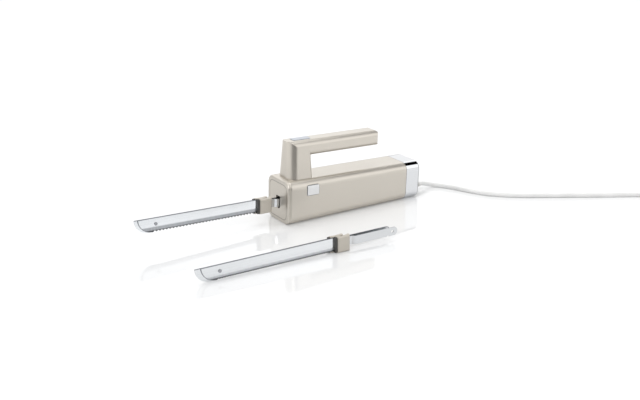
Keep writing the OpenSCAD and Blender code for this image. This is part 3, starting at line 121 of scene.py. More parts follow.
def grid_mesh(name, points, wrap=True, caps=False, loop=False, smooth=True):
    """A surface through a grid of points: rows of equal length, each row closed into a ring
    where wrap is set, the last row joined to the first where loop is set, or the ends closed by
    a fan to the row's middle where caps is set."""
    grid = np.asarray(points, float)
    rows, cols = grid.shape[:2]
    verts = grid.reshape(-1, 3)
    row, col = np.meshgrid(np.arange(rows if loop else rows - 1),
                           np.arange(cols if wrap else cols - 1), indexing="ij")
    next_row = (row + 1) % rows
    corners = ((row, col), (row, col + 1), (next_row, col + 1), (next_row, col))
    faces = np.stack([r * cols + c % cols for r, c in corners], -1).reshape(-1, 4).tolist()
    if caps:
        first, last = len(verts), len(verts) + 1
        verts = np.vstack([verts, grid[0].mean(0), grid[-1].mean(0)])
        here = np.arange(cols)
        after = (here + 1) % cols
        end = (rows - 1) * cols
        faces += np.stack([after, here, np.full(cols, first)], -1).tolist()
        faces += np.stack([end + here, end + after, np.full(cols, last)], -1).tolist()
    return add_piece(name, verts.tolist(), faces, smooth, closed=caps or loop)


def smooth_line(points, steps):
    """A smooth line through given points: on each stretch the cubic whose slope at a point is
    half the chord between that point's neighbours."""
    p = np.asarray(points, float)
    start = np.arange(len(p) - 1)
    before, after = p[np.maximum(start - 1, 0)], p[np.minimum(start + 2, len(p) - 1)]
    a, b, c, d = (q[:, None, :] for q in (before, p[:-1], p[1:], after))
    t = (np.arange(steps) / steps)[None, :, None]
    line = b + 0.5 * t * ((c - a) + t * (2 * a - 5 * b + 4 * c - d + t * (3 * b - a - 3 * c + d)))
    return np.vstack([line.reshape(-1, 3), p[-1]])


def tube_rings(line, radius, sides):
    """Rings of a round tube: at each point of the line a circle square to the line's direction,
    which is the difference of its two neighbours, with one spoke kept level."""
    along = np.gradient(line, axis=0)
    along /= np.linalg.norm(along, axis=1, keepdims=True)
    level = np.cross(along, [0, 0, 1.0])
    level /= np.linalg.norm(level, axis=1, keepdims=True)
    rise = np.cross(level, along)
    turn = (np.arange(sides) * 2 * math.pi / sides)[None, :, None]
    spoke = np.cos(turn) * level[:, None, :] + np.sin(turn) * rise[:, None, :]
    return line[:, None, :] + spoke * radius


def ease(t):
    """Goes from 0 to 1 with level ends: three t squared less two t cubed."""
    t = np.clip(t, 0, 1)
    return t * t * (3 - 2 * t)


# The cord, in mm: the strain relief that it leaves, its route on the floor, measured from the
# knife's front, and the coil and the tail that lead to the plug
BODY_L = 233.8
GLAND_L, GLAND_DROP = 24.0, 9.2
GLAND_Z = (GLAND_DROP + BODY_L * math.sin(TILT)) / math.cos(TILT)
CORD_D = 6.4
CORD_SIDES = 20
CORD_ROUTE = [
    [268, 0, 7.7], [276, -1, 5.6], [284, -4, 3.9], [292, -11, 3.2], [299, -21, 3.2],
    [305, -32, 3.2], [310, -43, 3.2], [316, -57, 3.2], [323, -71, 3.2], [334, -87, 3.2],
    [348, -101, 3.2], [363, -113, 3.2], [384, -127, 3.2], [408, -142, 3.2], [434, -158, 3.2],
    [462, -175, 3.2], [490, -192, 3.2], [518, -208, 3.2], [542, -222, 3.2]]
ROUTE_STEPS = 6
COIL_X, COIL_Y = 545.0, -276.0
COIL_R, COIL_TURNS, COIL_START = 45.0, 2, 60 * DEG
COIL_PITCH, COIL_LAYER = CORD_D * 1.1, CORD_D * 1.08
COIL_CLIMB = 0.5  # of a turn, from one layer to the next
TURN_STEPS = 48
TAIL_L, TAIL_POINTS, PLUG_Z, LEAD_IN = 40.0, 11, 6.85, CORD_D


def cord_line():
    """The cord's centre line in mm from the knife's front: straight out of the strain relief,
    down to the floor, along the route, inward round the coil on the floor, then outward on top
    of those turns and down to the plug's height. Comes with the point where it leaves."""
    leaves = tilted([BODY_L + GLAND_L, 0, GLAND_Z])
    straight = leaves + tilted([1, 0, 0]) * LEAD_IN
    into = np.array([math.sin(COIL_START), -math.cos(COIL_START), 0])
    lie = CORD_D / 2
    start = np.array([COIL_X + COIL_R * math.cos(COIL_START),
                      COIL_Y + COIL_R * math.sin(COIL_START), lie])
    free = smooth_line(np.vstack([leaves, straight, CORD_ROUTE, start - into * LEAD_IN, start]),
                       ROUTE_STEPS)
    free[:, 2] = np.maximum(free[:, 2], lie)

    turns = np.arange(1, 2 * COIL_TURNS * TURN_STEPS) / TURN_STEPS
    r = COIL_R - COIL_PITCH * np.minimum(turns, 2 * COIL_TURNS - turns)
    a = COIL_START - 2 * math.pi * turns
    z = lie + COIL_LAYER * ease((turns - COIL_TURNS) / COIL_CLIMB + 0.5)
    coil = np.stack([COIL_X + r * np.cos(a), COIL_Y + r * np.sin(a), z], -1)

    end = start + [0, 0, COIL_LAYER]
    along = np.linspace(0, TAIL_L, TAIL_POINTS)
    drop = (end[2] - PLUG_Z) * ease((along - LEAD_IN) / (TAIL_L - 2 * LEAD_IN))
    tail = end + into * along[:, None] - drop[:, None] * [0, 0, 1]
    return leaves, np.vstack([free, coil, tail])


CORD_EXIT, CORD_LINE = map(in_metres, cord_line())
flex = grid_mesh("flex_lead", tube_rings(CORD_LINE, CORD_D * MM / 2, CORD_SIDES), caps=True)
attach(flex, "housing")
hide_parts("power_cord", "cord_coil")

# The motor's windings in mm, wire by wire where the solids are plain rings: first the core that
# they stand out from by WIND_L, then the rotor's bundles, then the field coils
MOTOR_Z = 34.0
STACK_X, STACK_L = BODY_L * 0.556, BODY_L * 0.1711
WIND_L = 4.6
ROTOR_LOW, ROTOR_HIGH = 4.0, 11.7
ROTOR_STEPS, BUNDLE_STEPS = 240, 40
ROTOR_RIDGES, SKEW = 15, 3
ROTOR_DENT, SQUARENESS = 0.08, 0.6
POLE_HALF, POLE_GAP = 9.5, 0.3
FIELD_LOW, FIELD_IN, FIELD_OUT = 8.0, 15.8, 18.18
FIELD_SIDE = WIND_L - 1
CORNER_POINTS, CORNER_STEP, STRETCH_STEPS = 7, 15, 6
WIRES_WIDE, WIRES_TALL, WIRE_STEPS, FIELD_DENT = 6, 3, 6, 0.10


def join(name, pieces):
    """One object of several, each already in its place."""
    verts, faces = [], []
    for piece in pieces:
        faces += [[v + len(verts) for v in f.vertices] for f in piece.data.polygons]
        verts += [tuple(v.co) for v in piece.data.vertices]
        bpy.data.objects.remove(piece)
    return add_piece(name, verts, faces)


def end_turns(x):
    """The rotor winding's bundle beyond the core: a ring of squarish section round the shaft,
    its skin pressed in between wires that run askew over it, by the size of the cosine of
    ROTOR_RIDGES times the turn round the shaft plus SKEW times the turn round the section."""
    shaft, bundle = np.meshgrid(np.arange(ROTOR_STEPS) * 2 * math.pi / ROTOR_STEPS,
                                np.arange(BUNDLE_STEPS) * 2 * math.pi / BUNDLE_STEPS,
                                indexing="ij")
    skin = 1 - ROTOR_DENT * (1 - np.abs(np.cos(ROTOR_RIDGES * shaft + SKEW * bundle)))
    outward, forward = (skin * np.sign(f) * np.abs(f) ** SQUARENESS
                        for f in (np.cos(bundle), np.sin(bundle)))
    r = (ROTOR_LOW + ROTOR_HIGH) / 2 + (ROTOR_HIGH - ROTOR_LOW) / 2 * outward
    ring = np.stack([x + WIND_L / 2 * (1 + forward), r * np.cos(shaft),
                     MOTOR_Z + r * np.sin(shaft)], -1)
    return grid_mesh("turns", in_metres(tilted(ring)), loop=True)


def field_coil(side):
    """A field coil round its pole: a flat bundle swept along a rectangle with round corners, on
    each side of the section one half-sine bulge for each wire, the section held between two
    circles round the shaft."""
    corners = [(STACK_X + STACK_L, POLE_HALF, 0), (STACK_X, POLE_HALF, 90),
               (STACK_X, -POLE_HALF, 180), (STACK_X + STACK_L, -POLE_HALF, 270)]
    knees = [(x, y, (turn + k * CORNER_STEP) * DEG)
             for x, y, turn in corners for k in range(CORNER_POINTS)]
    core, facing = np.array([k[:2] for k in knees]), np.array([k[2] for k in knees])
    out = np.stack([np.cos(facing), np.sin(facing)], -1)
    share = (np.arange(STRETCH_STEPS) / STRETCH_STEPS)[:, None, None]
    core, out = ((v * (1 - share) + np.roll(v, -1, 0) * share).transpose(1, 0, 2).reshape(-1, 2)
                 for v in (core, out))
    out /= np.linalg.norm(out, axis=1, keepdims=True)

    wide, tall = (np.arange(n * WIRE_STEPS) / (n * WIRE_STEPS) for n in (WIRES_WIDE, WIRES_TALL))
    dent_wide, dent_tall = (FIELD_DENT * (1 - np.abs(np.sin(math.pi * n * t)))
                            for n, t in ((WIRES_WIDE, wide), (WIRES_TALL, tall)))
    u = np.concatenate([wide, 1 - dent_tall / 2, 1 - wide, dent_tall / 2])
    w = np.concatenate([dent_wide, tall, 1 - dent_wide, 1 - tall])
    x, y = (core[:, None, axis] + out[:, None, axis] * (POLE_GAP + u * (reach - POLE_GAP))
            for axis, reach in ((0, WIND_L), (1, FIELD_SIDE)))
    bottom = np.maximum(np.sqrt(np.maximum(FIELD_IN ** 2 - y ** 2, 0)), FIELD_LOW)
    z = bottom + w * (np.sqrt(FIELD_OUT ** 2 - y ** 2) - bottom)
    swept = np.stack([x, y, MOTOR_Z + side * z], -1)
    return grid_mesh("coil", in_metres(tilted(swept)), loop=True)


rotor_wire = join("rotor_wire", [end_turns(STACK_X - WIND_L), end_turns(STACK_X + STACK_L)])
field_wire = join("field_wire", [field_coil(1), field_coil(-1)])
for wire, node, body in ((rotor_wire, "rotor_winding", "rotor"),
                         (field_wire, "field_coils", "housing")):
    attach(wire, body)
    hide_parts(node)


class Nodes:
    """A node tree with short calls for the nodes used here. A value is a number or a colour, or
    the output of another node."""

    def __init__(self, tree):
        self.tree = tree

    def put(self, value, socket):
        if isinstance(value, bpy.types.NodeSocket):
            self.tree.links.new(value, socket)
        else:
            socket.default_value = value

    def node(self, kind, **inputs):
        n = self.tree.nodes.new(kind)
        for name, value in inputs.items():
            self.put(value, n.inputs[name.replace("_", " ")])
        return n

    def axes(self, at):
        return self.node("ShaderNodeSeparateXYZ", Vector=at).outputs

    def math(self, kind, a, b=0.0):
        n = self.tree.nodes.new("ShaderNodeMath")
        n.operation = kind
        self.put(a, n.inputs[0])
        self.put(b, n.inputs[1])
        return n.outputs[0]

    def plus(self, a, b):
        return self.math("ADD", a, b)

    def minus(self, a, b):
        return self.math("SUBTRACT", a, b)

    def times(self, *values):
        return functools.reduce(functools.partial(self.math, "MULTIPLY"), values)

    def most(self, *values):
        return functools.reduce(functools.partial(self.math, "MAXIMUM"), values)

    def absolute(self, value):
        return self.math("ABSOLUTE", value)

    def span(self, value, lo, hi, to_lo=0.0, to_hi=1.0, kind="LINEAR"):
        """Maps a value from one range to another, held at both ends."""
        n = self.tree.nodes.new("ShaderNodeMapRange")
        n.interpolation_type = kind
        for socket, item in zip(n.inputs, (value, lo, hi, to_lo, to_hi)):
            self.put(item, socket)
        return n.outputs[0]

    def step(self, value, lo, hi):
        """Rises from 0 to 1 with level ends as the value goes from lo to hi."""
        return self.span(value, lo, hi, kind="SMOOTHSTEP")

    def window(self, value, lo, hi, soft):
        """1 between lo and hi, falling to 0 over soft outside them."""
        return self.times(self.step(value, lo - soft, lo),
                          self.minus(1.0, self.step(value, hi, hi + soft)))

    def mix(self, share, a, b):
        """Colour a where share is 0 and colour b where it is 1."""
        n = self.tree.nodes.new("ShaderNodeMix")
        n.data_type = "RGBA"
        share_in, a_in, b_in = n.inputs[0], n.inputs[6], n.inputs[7]
        self.put(share, share_in)
        for colour, socket in ((a, a_in), (b, b_in)):
            linked = isinstance(colour, bpy.types.NodeSocket)
            self.put(colour if linked else (*colour, 1.0), socket)
        return n.outputs[2]


USUAL, CLOSE = (0.3, 0.7), (0.35, 0.65)  # ranges of a noise that are spread over what it drives


def shade(colour, factor):
    """A colour times a factor, at most 1 in each channel."""
    return tuple(min(1.0, c * factor) for c in colour)


class Finish(Nodes):
    """A material worked out by nodes: colours and roughness mixed by patterns that read the
    piece's Object coordinates, turned where asked into the piece's own frame."""

    def __init__(self, name, colour, metal, rough, **sockets):
        self.mat = bpy.data.materials.new(name)
        self.mat.use_nodes = True
        super().__init__(self.mat.node_tree)
        self.shader = self.tree.nodes["Principled BSDF"]
        self.set("Base Color", (*colour, 1.0))
        self.set("Metallic", metal)
        self.set("Roughness", rough)
        for key, value in sockets.items():
            self.set(key.replace("_", " "), value)
        self.mat.diffuse_color = (*colour, 1.0)

    def set(self, socket, value):
        self.put(value, self.shader.inputs[socket])

    def place(self, stretch=(1, 1, 1), moves=()):
        """Object coordinates taken through moves, each a shift in metres followed by a turn in
        radians, and stretched at the end."""
        at = self.tree.nodes.new("ShaderNodeTexCoord").outputs["Object"]
        for shift, turn in moves:
            at = self.node("ShaderNodeMapping", Vector=at, Location=shift).outputs[0]
            at = self.node("ShaderNodeMapping", Vector=at, Rotation=turn).outputs[0]
        return self.stretched(at, stretch)

    def stretched(self, at, stretch):
        return self.node("ShaderNodeMapping", Vector=at, Scale=stretch).outputs[0]

    def noise(self, scale, detail=2.0, rough=0.5, at=None, **place):
        n = self.node("ShaderNodeTexNoise", Vector=at or self.place(**place), Scale=scale,
                      Detail=detail, Roughness=rough)
        return n.outputs["Fac"]

    def tint(self, pattern, colour, dark, light, spread=USUAL):
        """The colour times dark where the pattern is low and times light where it is high."""
        return self.mix(self.span(pattern, *spread), shade(colour, dark), shade(colour, light))

    def roughen(self, pattern, smooth, rough, spread=USUAL):
        self.set("Roughness", self.span(pattern, *spread, smooth, rough))

    def bump(self, height, depth, strength):
        n = self.node("ShaderNodeBump", Strength=strength, Distance=depth, Height=height)
        self.set("Normal", n.outputs["Normal"])


def lacquer(name, colour, metal=0.75, rough=0.3, coat=0.15):
    """Metallic lacquer: fine flakes lighten and darken the colour, a slow cloud varies the
    roughness, and the film has a very shallow ripple."""
    f = Finish(name, colour, metal, rough, Coat_Weight=coat, Coat_Roughness=0.12)
    flakes = f.noise(scale=3600, detail=2.0, rough=0.6)
    f.set("Base Color", f.tint(flakes, colour, dark=0.95, light=1.05, spread=CLOSE))
    f.roughen(f.noise(scale=60, detail=3.0), rough - 0.01, rough + 0.03)
    f.bump(f.noise(scale=1400), depth=0.02 * MM, strength=0.3)
    return f


def rimmed(name, colour, shade_line_colour, centre, half, rim):
    """A satin button whose face is bright, and whose outline in the knife's frame carries, within
    rim of it, a darker line of painted shade where the gap round the button falls dark. centre and
    half are its middle and half size along X and Z."""
    f = Finish(name, colour, metal=0.35, rough=0.3, Coat_Weight=0.3, Coat_Roughness=0.1)
    along, _, height = f.axes(f.place(moves=[KNIFE_FRAME]))
    # edge gathers the painted shade line along the outline: the shade of the gap round the button
    edge = 0.0
    for value, middle, reach in zip((along, height), centre, half):
        off = f.absolute(f.minus(value, middle))
        edge = f.most(edge, f.span(off, reach - rim, reach - rim * 0.4))
    face = f.tint(f.noise(scale=2600), colour, dark=0.96, light=1.04, spread=CLOSE)
    f.set("Base Color", f.mix(edge, face, shade_line_colour))
    f.roughen(f.noise(scale=80), smooth=0.29, rough=0.34)
    return f


def plate_lacquer(name, colour, half, height, border, corner):
    """The body's lacquer with the shade that gathers in the front plate's groove: a line inside
    a rounded rectangle, told by the distance to that outline in the knife's frame. half is half
    the plate's width, border the groove's distance from its edges, corner the groove's radius."""
    inset, dark_to, fades_to, darkness = 0.25 * MM, 0.2 * MM, 0.5 * MM, 0.35
    f = lacquer(name, colour)
    _, y, z = f.axes(f.place(moves=[KNIFE_FRAME]))
    straight = half - border - corner, height / 2 - border - corner
    off = [f.minus(f.absolute(value), reach)
           for value, reach in zip((y, f.minus(z, height / 2)), straight)]
    out_y, out_z = (f.most(value, 0.0) for value in off)
    beyond = f.math("SQRT", f.plus(f.times(out_y, out_y), f.times(out_z, out_z)))
    within = f.math("MINIMUM", f.most(*off), 0.0)
    distance = f.absolute(f.minus(f.plus(beyond, within), corner - inset))
    line = f.span(distance, dark_to, fades_to, 1.0, 0.0)
    plain = f.shader.inputs["Base Color"].links[0].from_socket
    f.set("Base Color", f.mix(line, plain, shade(colour, darkness)))
    return f


def moulded(name, colour, rough=0.42, grain=900, depth=0.03 * MM, metal=0.0, coat=0.0):
    """Moulded plastic: a spark-eroded grain in the surface and a faint cloud in the colour."""
    f = Finish(name, colour, metal, rough, Coat_Weight=coat)
    f.set("Base Color", f.tint(f.noise(scale=35, detail=3.0), colour, dark=0.94, light=1.05))
    grit = f.noise(scale=grain, detail=3.0, rough=0.6)
    f.roughen(grit, rough - 0.05, rough + 0.06)
    f.bump(grit, depth, strength=0.5)
    return f


def plated(name, shaded_from=None):
    """Bright plating: a nearly even mirror with faint polishing haze. Where a place along X in the
    knife's frame is given, the chrome behind that place is painted darker, a painted shade along
    the rear edge."""
    chrome, shaded_chrome, shade_soft = (0.68, 0.69, 0.705), (0.28, 0.285, 0.295), 0.3 * MM
    f = Finish(name, chrome, metal=1.0, rough=0.03)
    # Painted shade: behind the given place the chrome turns dark
    if shaded_from is not None:
        along = f.axes(f.place(moves=[KNIFE_FRAME]))["X"]
        behind = f.span(along, shaded_from - shade_soft, shaded_from + shade_soft)
        f.set("Base Color", f.mix(behind, chrome, shaded_chrome))
    f.roughen(f.noise(scale=45, detail=4.0), smooth=0.03, rough=0.08, spread=(0.3, 0.75))
    f.bump(f.noise(scale=300), depth=0.01 * MM, strength=0.15)
    return f


def rolled(name, colour, rough=0.3):
    """Rolled or turned metal: fine lines along one direction in roughness and surface."""
    f = Finish(name, colour, metal=1.0, rough=rough)
    lines = f.noise(scale=400, rough=0.6, stretch=(1, 1, 40))
    f.set("Base Color", f.tint(lines, colour, dark=0.9, light=1.06))
    f.roughen(lines, rough - 0.08, rough + 0.1)
    f.bump(lines, depth=0.01 * MM, strength=0.4)
    return f


# The blades in their own frame, in metres: the heights of the edge and of the back, the length of
# the rounded tip, and the place behind the blocks where the tang begins
EDGE, SPINE, TIP_L, TANG_X = 17.6 * MM, 37.8 * MM, 20 * MM, -15.5 * MM
# Where a pattern fades in or out: the outer face by its distance from the middle, the painted
# shade line along the back and the painted shade over the teeth by their height, the painted
# shade round the tip by its ellipse, and a broad face by the Y of its normal
OUTER, BACK = (0.12 * MM, 0.22 * MM), (SPINE - 1.1 * MM, SPINE - 0.5 * MM)
TEETH, RIM, BROAD = (EDGE + 2.0 * MM, EDGE + 3.4 * MM), (0.90, 0.95), (0.45, 0.7)
BEVEL_SOFT, TANG_SOFT = 0.8 * MM, 0.5 * MM
SIDE_ROUGH, BAND_ROUGH = 0.17, 0.32
# Dull grey of the narrow ground faces, darkened as painted shade, and of the painted shade lines
# along the spine and round the tip
DULL_AND_SHADE = (0.20, 0.21, 0.23)


def blade_steel(name, moves, outer, tip, side, ground, shoulder):
    """A ground blade: long polishing lines on the side, below the shoulder of the bevel a darker
    band whose grinding lines run up from the edge, and over the teeth painted shade that makes
    it darker still. The narrow faces all round are dull ground steel, darkened further as
    painted shade, and painted shade lines run along the spine on both faces and round the tip
    on the ground side. The face that touches the other blade is otherwise plain. outer is the
    sign of Y on the ground side, tip the place of the tip along X, and shoulder the bevel's
    height over the edge. The tip is a quarter of an ellipse, (x / TIP_L)^2 + (z / (SPINE -
    EDGE))^2 = 1."""
    f = Finish(name, side, metal=1.0, rough=0.2)
    at = f.place(moves=moves)
    along, across, height = f.axes(at)
    top = EDGE + shoulder
    worked = f.span(f.times(across, outer), *OUTER)
    tang = f.span(along, TANG_X - TANG_SOFT, TANG_X + TANG_SOFT)
    bevel = f.span(height, top - BEVEL_SOFT, top + BEVEL_SOFT, 1.0, 0.0)
    band = f.times(worked, bevel, f.minus(1.0, tang))
    teeth = f.span(height, *TEETH, 1.0, 0.0)

    # Painted shade lines: back along the spine on both faces, rim round the tip on the outer face
    back = f.span(height, *BACK)
    ahead = f.span(along, tip, tip + TIP_L, -1.0, 0.0)
    below = f.span(height, EDGE, SPINE, -1.0, 0.0)
    ellipse = f.plus(f.times(ahead, ahead), f.times(below, below))
    rim = f.times(f.span(ellipse, *RIM), worked, f.math("LESS_THAN", along, tip + TIP_L))
    # The narrow faces: dull ground steel, painted darker still as shade
    normal = f.tree.nodes.new("ShaderNodeNewGeometry").outputs["True Normal"]
    narrow = f.span(f.absolute(f.axes(normal)["Y"]), *BROAD, 1.0, 0.0)

    polish = f.noise(1.0, detail=3.0, rough=0.6, at=f.stretched(at, (6, 1, 900)))
    grind = f.noise(1.0, detail=2.0, rough=0.6, at=f.stretched(at, (1300, 1, 30)))
    bright = f.tint(polish, side, dark=0.95, light=1.04)
    bright = f.mix(tang, bright, shade(side, 0.84))
    dark = f.tint(grind, ground, dark=0.86, light=1.16)
    # Painted shade over the teeth: the band goes to about a quarter of the ground colour there
    dark = f.mix(teeth, dark, shade(ground, 0.26))
    f.set("Base Color", f.mix(f.most(back, rim, narrow), f.mix(band, bright, dark), DULL_AND_SHADE))
    f.set("Roughness", f.span(f.most(band, narrow), 0.0, 1.0, SIDE_ROUGH, BAND_ROUGH))
    f.bump(polish, depth=0.01 * MM, strength=0.25)
    return f


def laminated(name):
    """Stacked sheet steel: dark and light lines a sheet's thickness apart along the motor."""
    f = Finish(name, (0.42, 0.43, 0.45), metal=0.9, rough=0.42)
    sheets = f.node("ShaderNodeTexWave", Vector=f.place(moves=[KNIFE_FRAME]), Scale=320.0,
                    Distortion=0.2).outputs["Fac"]
    f.set("Base Color", f.mix(sheets, (0.20, 0.205, 0.21), (0.46, 0.47, 0.49)))
    f.bump(sheets, depth=0.08 * MM, strength=0.6)
    return f


def enamelled(name):
    """Enamelled copper: reddish gloss with a darker cloud where the varnish is thick."""
    f = Finish(name, (0.62, 0.28, 0.12), metal=0.9, rough=0.24, Coat_Weight=0.7)
    cloud = f.span(f.noise(scale=220, detail=3.0), 0.35, 0.7)
    f.set("Base Color", f.mix(cloud, (0.50, 0.20, 0.08), (0.72, 0.36, 0.17)))
    return f


def printed_board(name):
    """A circuit board under green lacquer: copper lines show a little lighter through it."""
    f = Finish(name, (0.05, 0.17, 0.08), metal=0.0, rough=0.28, Coat_Weight=0.4)
    white, black = (1, 1, 1, 1), (0, 0, 0, 1)
    lines = f.node("ShaderNodeTexBrick", Vector=f.place(), Scale=260.0, Color1=white,
                   Color2=white, Mortar=black).outputs["Fac"]
    f.set("Base Color", f.mix(lines, (0.045, 0.15, 0.07), (0.10, 0.26, 0.12)))
    f.bump(lines, depth=0.03 * MM, strength=0.5)
    return f


# Where the blades are, as in the part's source, in metres: the mounted pair's reach and throw,
# and the loose pair's place, turn, pitch about its pivot and lead of one blade over the other
REACH, THROW = 216.4 * MM, 2.4 * MM
SPARE_X, SPARE_Y, SPARE_EXTRA = 22 * MM, -143 * MM, 12 * MM
SPARE_YAW, SPARE_PITCH, SPARE_LEAD = -2.1 * DEG, 0.4666 * DEG, 3.9 * MM
PIVOT, BLOCK_REAR, BLOCK_LOW = -38.9 * MM, -15.4 * MM, 16.2 * MM


def mounted_frame(side):
    """The moves that take a place on a mounted blade to the blade's own frame."""
    return [KNIFE_FRAME, ((side * THROW, 0, 0), (0, 0, 0))]


def spare_frame(side):
    """The moves that take a place on a loose blade to the blade's own frame."""
    return [((FRONT * MM - SPARE_X, -SPARE_Y, 0), (0, 0, -SPARE_YAW)),
            ((BLOCK_REAR - PIVOT, 0, 0), (0, SPARE_PITCH, 0)),
            ((PIVOT + side * SPARE_LEAD, 0, BLOCK_LOW), (0, 0, 0))]


CHAMPAGNE = (0.602, 0.564, 0.504)
FINISHES = {
    "champagne": lacquer("champagne_lacquer", CHAMPAGNE),
    "block_champagne": lacquer("block_lacquer", (0.56, 0.52, 0.455), metal=0.35, rough=0.40,
                               coat=0.1),
    "chrome": plated("bright_chrome"),
    "steel": rolled("turned_steel", (0.62, 0.63, 0.65)),
    "stamped": laminated("laminated_steel"),
    "black": moulded("black_moulding", (0.022, 0.022, 0.024)),
    "button_silver": lacquer("button_silver", (0.50, 0.53, 0.58), metal=0.35, rough=0.34,
                             coat=0.1),
    "white": moulded("white_moulding", (0.80, 0.795, 0.77), rough=0.38, grain=700),
    "cord": moulded("cord_sheath", (0.90, 0.90, 0.89), rough=0.5, grain=500),
    "nylon": moulded("natural_nylon", (0.78, 0.75, 0.66), rough=0.36, grain=600),
    "brass": rolled("drawn_brass", (0.72, 0.52, 0.22), rough=0.28),
    "bronze": moulded("sintered_bronze", (0.45, 0.29, 0.14), rough=0.5, grain=2600,
                      depth=0.06 * MM, metal=0.9),
    "copper": enamelled("enamelled_copper"),
    "carbon": moulded("pressed_carbon", (0.03, 0.03, 0.032), rough=0.6, grain=2600,
                      depth=0.05 * MM),
    "board": printed_board("lacquered_board"),
}
OWN_FINISHES = {
    "front_plate": plate_lacquer("plate_lacquer", CHAMPAGNE, half=30 * MM, height=64.2 * MM,
                                 border=6 * MM, corner=8.4 * MM),
    # The cap's chrome has a painted shade along its rear edge
    "rear_cap": plated("cap_chrome", shaded_from=231.8 * MM),
}
# The release button: a bright face with a painted shade line round its outline
release = rimmed("release_silver", (0.82, 0.825, 0.83), shade_line_colour=(0.30, 0.30, 0.31),
                 centre=(40.8 * MM, 49.2 * MM), half=(10 * MM, 7.5 * MM), rim=0.7 * MM)
rivet = rolled("rivet_steel", (0.40, 0.41, 0.43), rough=0.4)
# The blocks' noses: a near-black moulding whose darkness also paints the shade at the blocks'
# fronts
nose = moulded("nose_moulding_and_shade", (0.060, 0.056, 0.050), rough=0.38, metal=0.2, coat=0.2)
MOUNTED_STEEL = {"side": (0.85, 0.87, 0.89), "ground": (0.42, 0.435, 0.455), "shoulder": 7.4 * MM}
LOOSE_STEEL = {"side": (0.77, 0.785, 0.80), "ground": (0.55, 0.565, 0.585), "shoulder": 5.6 * MM}
for outer, hand in ((-1, "left"), (1, "right")):
    OWN_FINISHES |= {
        f"release_button_{hand}": release,
        f"{hand}_block_nose": nose,
        f"spare_{hand}_nose": nose,
        f"{hand}_blade": blade_steel(f"mounted_{hand}_steel", mounted_frame(outer), outer,
                                     -REACH, **MOUNTED_STEEL),
        f"spare_{hand}_blade": blade_steel(f"loose_{hand}_steel", spare_frame(outer), outer,
                                           -REACH - SPARE_EXTRA, **LOOSE_STEEL),
    }
OWN_FINISHES |= {"blade_rivet": rivet, "spare_rivet": rivet}


def dress(piece, finish):
    """Gives a piece one finish in place of what it had."""
    piece.data.materials.clear()
    piece.data.materials.append(finish.mat)


for row in frame["record"]["subparts"]:
    node, slot = row["node"], row["material_slot"]
    dress(NODES[node], OWN_FINISHES[node] if node in OWN_FINISHES else FINISHES[slot])
dress(flex, FINISHES["cord"])
dress(rotor_wire, FINISHES["copper"])
dress(field_wire, FINISHES["copper"])

# The room: a pale floor, a pale backdrop and soft light
ROOM_LEVEL = 0.66
FLOOR_HALF = 6.0
FLOOR_WHITE, FLOOR_DARK = (0.88, 0.885, 0.89), (0.10, 0.10, 0.10)
FLOOR_LIFT, FAR_LIFT, FAR_FROM, FAR_TO = 0.07, 0.36, 0.3, 1.0
DARK_X, DARK_Y = (-0.02, 0.10), (-0.46, -0.32)


def floor():
    """A flat sheet of floor well past the view. It glows a little to the camera and in mirrors,
    more so far away, and its near part mirrors dark, as a studio table that ends there does."""
    ends = (-FLOOR_HALF, FLOOR_HALF)
    sheet = grid_mesh("floor", [[[x, y, 0] for x in ends] for y in ends], wrap=False,
                      smooth=False)
    f = Finish("floor_white", FLOOR_WHITE, metal=0.0, rough=0.16, IOR=1.65)
    f.roughen(f.noise(scale=7, detail=3.0), smooth=0.04, rough=0.07)
    ray = f.tree.nodes.new("ShaderNodeLightPath").outputs
    seen = f.most(ray["Is Camera Ray"], ray["Is Glossy Ray"], ray["Is Transmission Ray"])
    at = f.place()
    x, y, _ = f.axes(at)
    near = f.times(f.minus(1.0, f.step(y, *DARK_Y)), f.minus(1.0, f.step(x, *DARK_X)))
    dark = f.times(ray["Is Glossy Ray"], near)
    away = f.tree.nodes.new("ShaderNodeVectorMath")
    away.operation = "LENGTH"
    f.put(at, away.inputs[0])
    far = f.step(away.outputs["Value"], FAR_FROM, FAR_TO)
    glow = f.plus(FLOOR_LIFT, f.times(far, FAR_LIFT))
    f.set("Base Color", f.mix(dark, FLOOR_WHITE, FLOOR_DARK))
    f.set("Emission Color", (1, 1, 1, 1))
    f.set("Emission Strength", f.times(f.minus(seen, dark), glow))
    dress(sheet, f)


# Patches of the room that only mirrors show, in degrees: from, to and soft edge of the bearing,
# then of the rise. The chrome's top mirrors the shade.
PATCHES = {
    "gap": (-26, 50, 8, 45, 57, 3),
    "side": (-138, -86, 8, -20, 42, 8),
    "horizon": (0, 120, 10, -1, 6, 3),
    "backdrop": (20, 110, 10, 13, 36, 4),
    "shade": (49, 53.4, 1.5, 13.9, 16.4, 0.8),
    "softbox": (-62, -32, 10, 14, 42, 6),
}
MIRROR_WHITE, HORIZON_DROP, SHADE_DROP, BRIGHTER = 0.98, 0.7, 0.6, 0.5


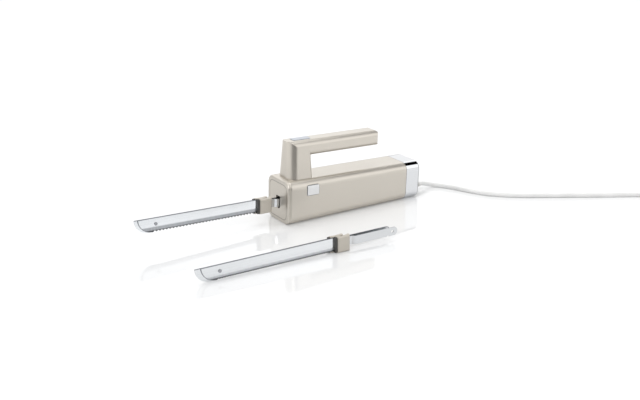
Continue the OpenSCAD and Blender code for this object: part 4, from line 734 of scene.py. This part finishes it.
def world():
    """A white studio: 1 for the camera, a plain level for light, and for reflections white with
    a dark gap between the overhead and the front softbox, a dark side behind the camera, a
    greyer horizon, a brighter backdrop with a small shade in it, and the softbox itself."""
    room = bpy.data.worlds.new("room")
    room.use_nodes = True
    w = Nodes(room.node_tree)
    background = w.tree.nodes["Background"]
    ray = w.tree.nodes.new("ShaderNodeLightPath").outputs
    toward = w.tree.nodes.new("ShaderNodeTexCoord").outputs["Generated"]
    x, y, z = w.axes(toward)
    bearing, rise = w.math("ARCTAN2", y, x), w.math("ARCSINE", z)
    patch = {}
    for name, degrees in PATCHES.items():
        edges = [d * DEG for d in degrees]
        patch[name] = w.times(w.window(bearing, *edges[:3]), w.window(rise, *edges[3:]))
    light = w.times(w.minus(1.0, w.most(patch["gap"], patch["side"])),
                    w.minus(1.0, w.times(patch["horizon"], HORIZON_DROP)))
    backdrop = w.minus(patch["backdrop"], w.times(patch["shade"], SHADE_DROP))
    mirrored = w.plus(w.times(light, MIRROR_WHITE),
                      w.times(w.most(backdrop, patch["softbox"]), BRIGHTER))
    glossy = w.times(ray["Is Glossy Ray"], w.minus(mirrored, ROOM_LEVEL))
    plain = w.times(w.most(ray["Is Camera Ray"], ray["Is Transmission Ray"]), 1 - ROOM_LEVEL)
    w.put((1, 1, 1, 1), background.inputs["Color"])
    w.put(w.plus(ROOM_LEVEL, w.plus(glossy, plain)), background.inputs["Strength"])
    bpy.context.scene.world = room


def lamp(name, size, watts, at, towards, mirrored=True):
    """A rectangular softbox that faces a point. Mirrors show it only where mirrored is set."""
    light = bpy.data.lights.new(name, "AREA")
    light.shape = "RECTANGLE"
    light.size, light.size_y = size
    light.energy = watts
    lit = bpy.data.objects.new(name, light)
    gaze = Vector(at) - Vector(towards)
    lit.matrix_world = Matrix.Translation(at) @ gaze.to_track_quat("Z", "Y").to_matrix().to_4x4()
    lit.visible_glossy = mirrored
    bpy.context.scene.collection.objects.link(lit)


floor()
world()
lamp("top_box", size=(1.6, 1.2), watts=8.0, at=(0.1, 0.25, 1.6), towards=(0.0, 0.0, 0.0))
lamp("front_box", size=(1.1, 1.0), watts=2.6, at=(0.95, -1.05, 0.85), towards=(0.0, 0.0, 0.03),
     mirrored=False)
lamp("left_box", size=(1.0, 0.8), watts=6.0, at=(-1.2, -1.0, 1.1), towards=(0.0, 0.0, 0.03))
bpy.context.scene.view_settings.view_transform = "Standard"
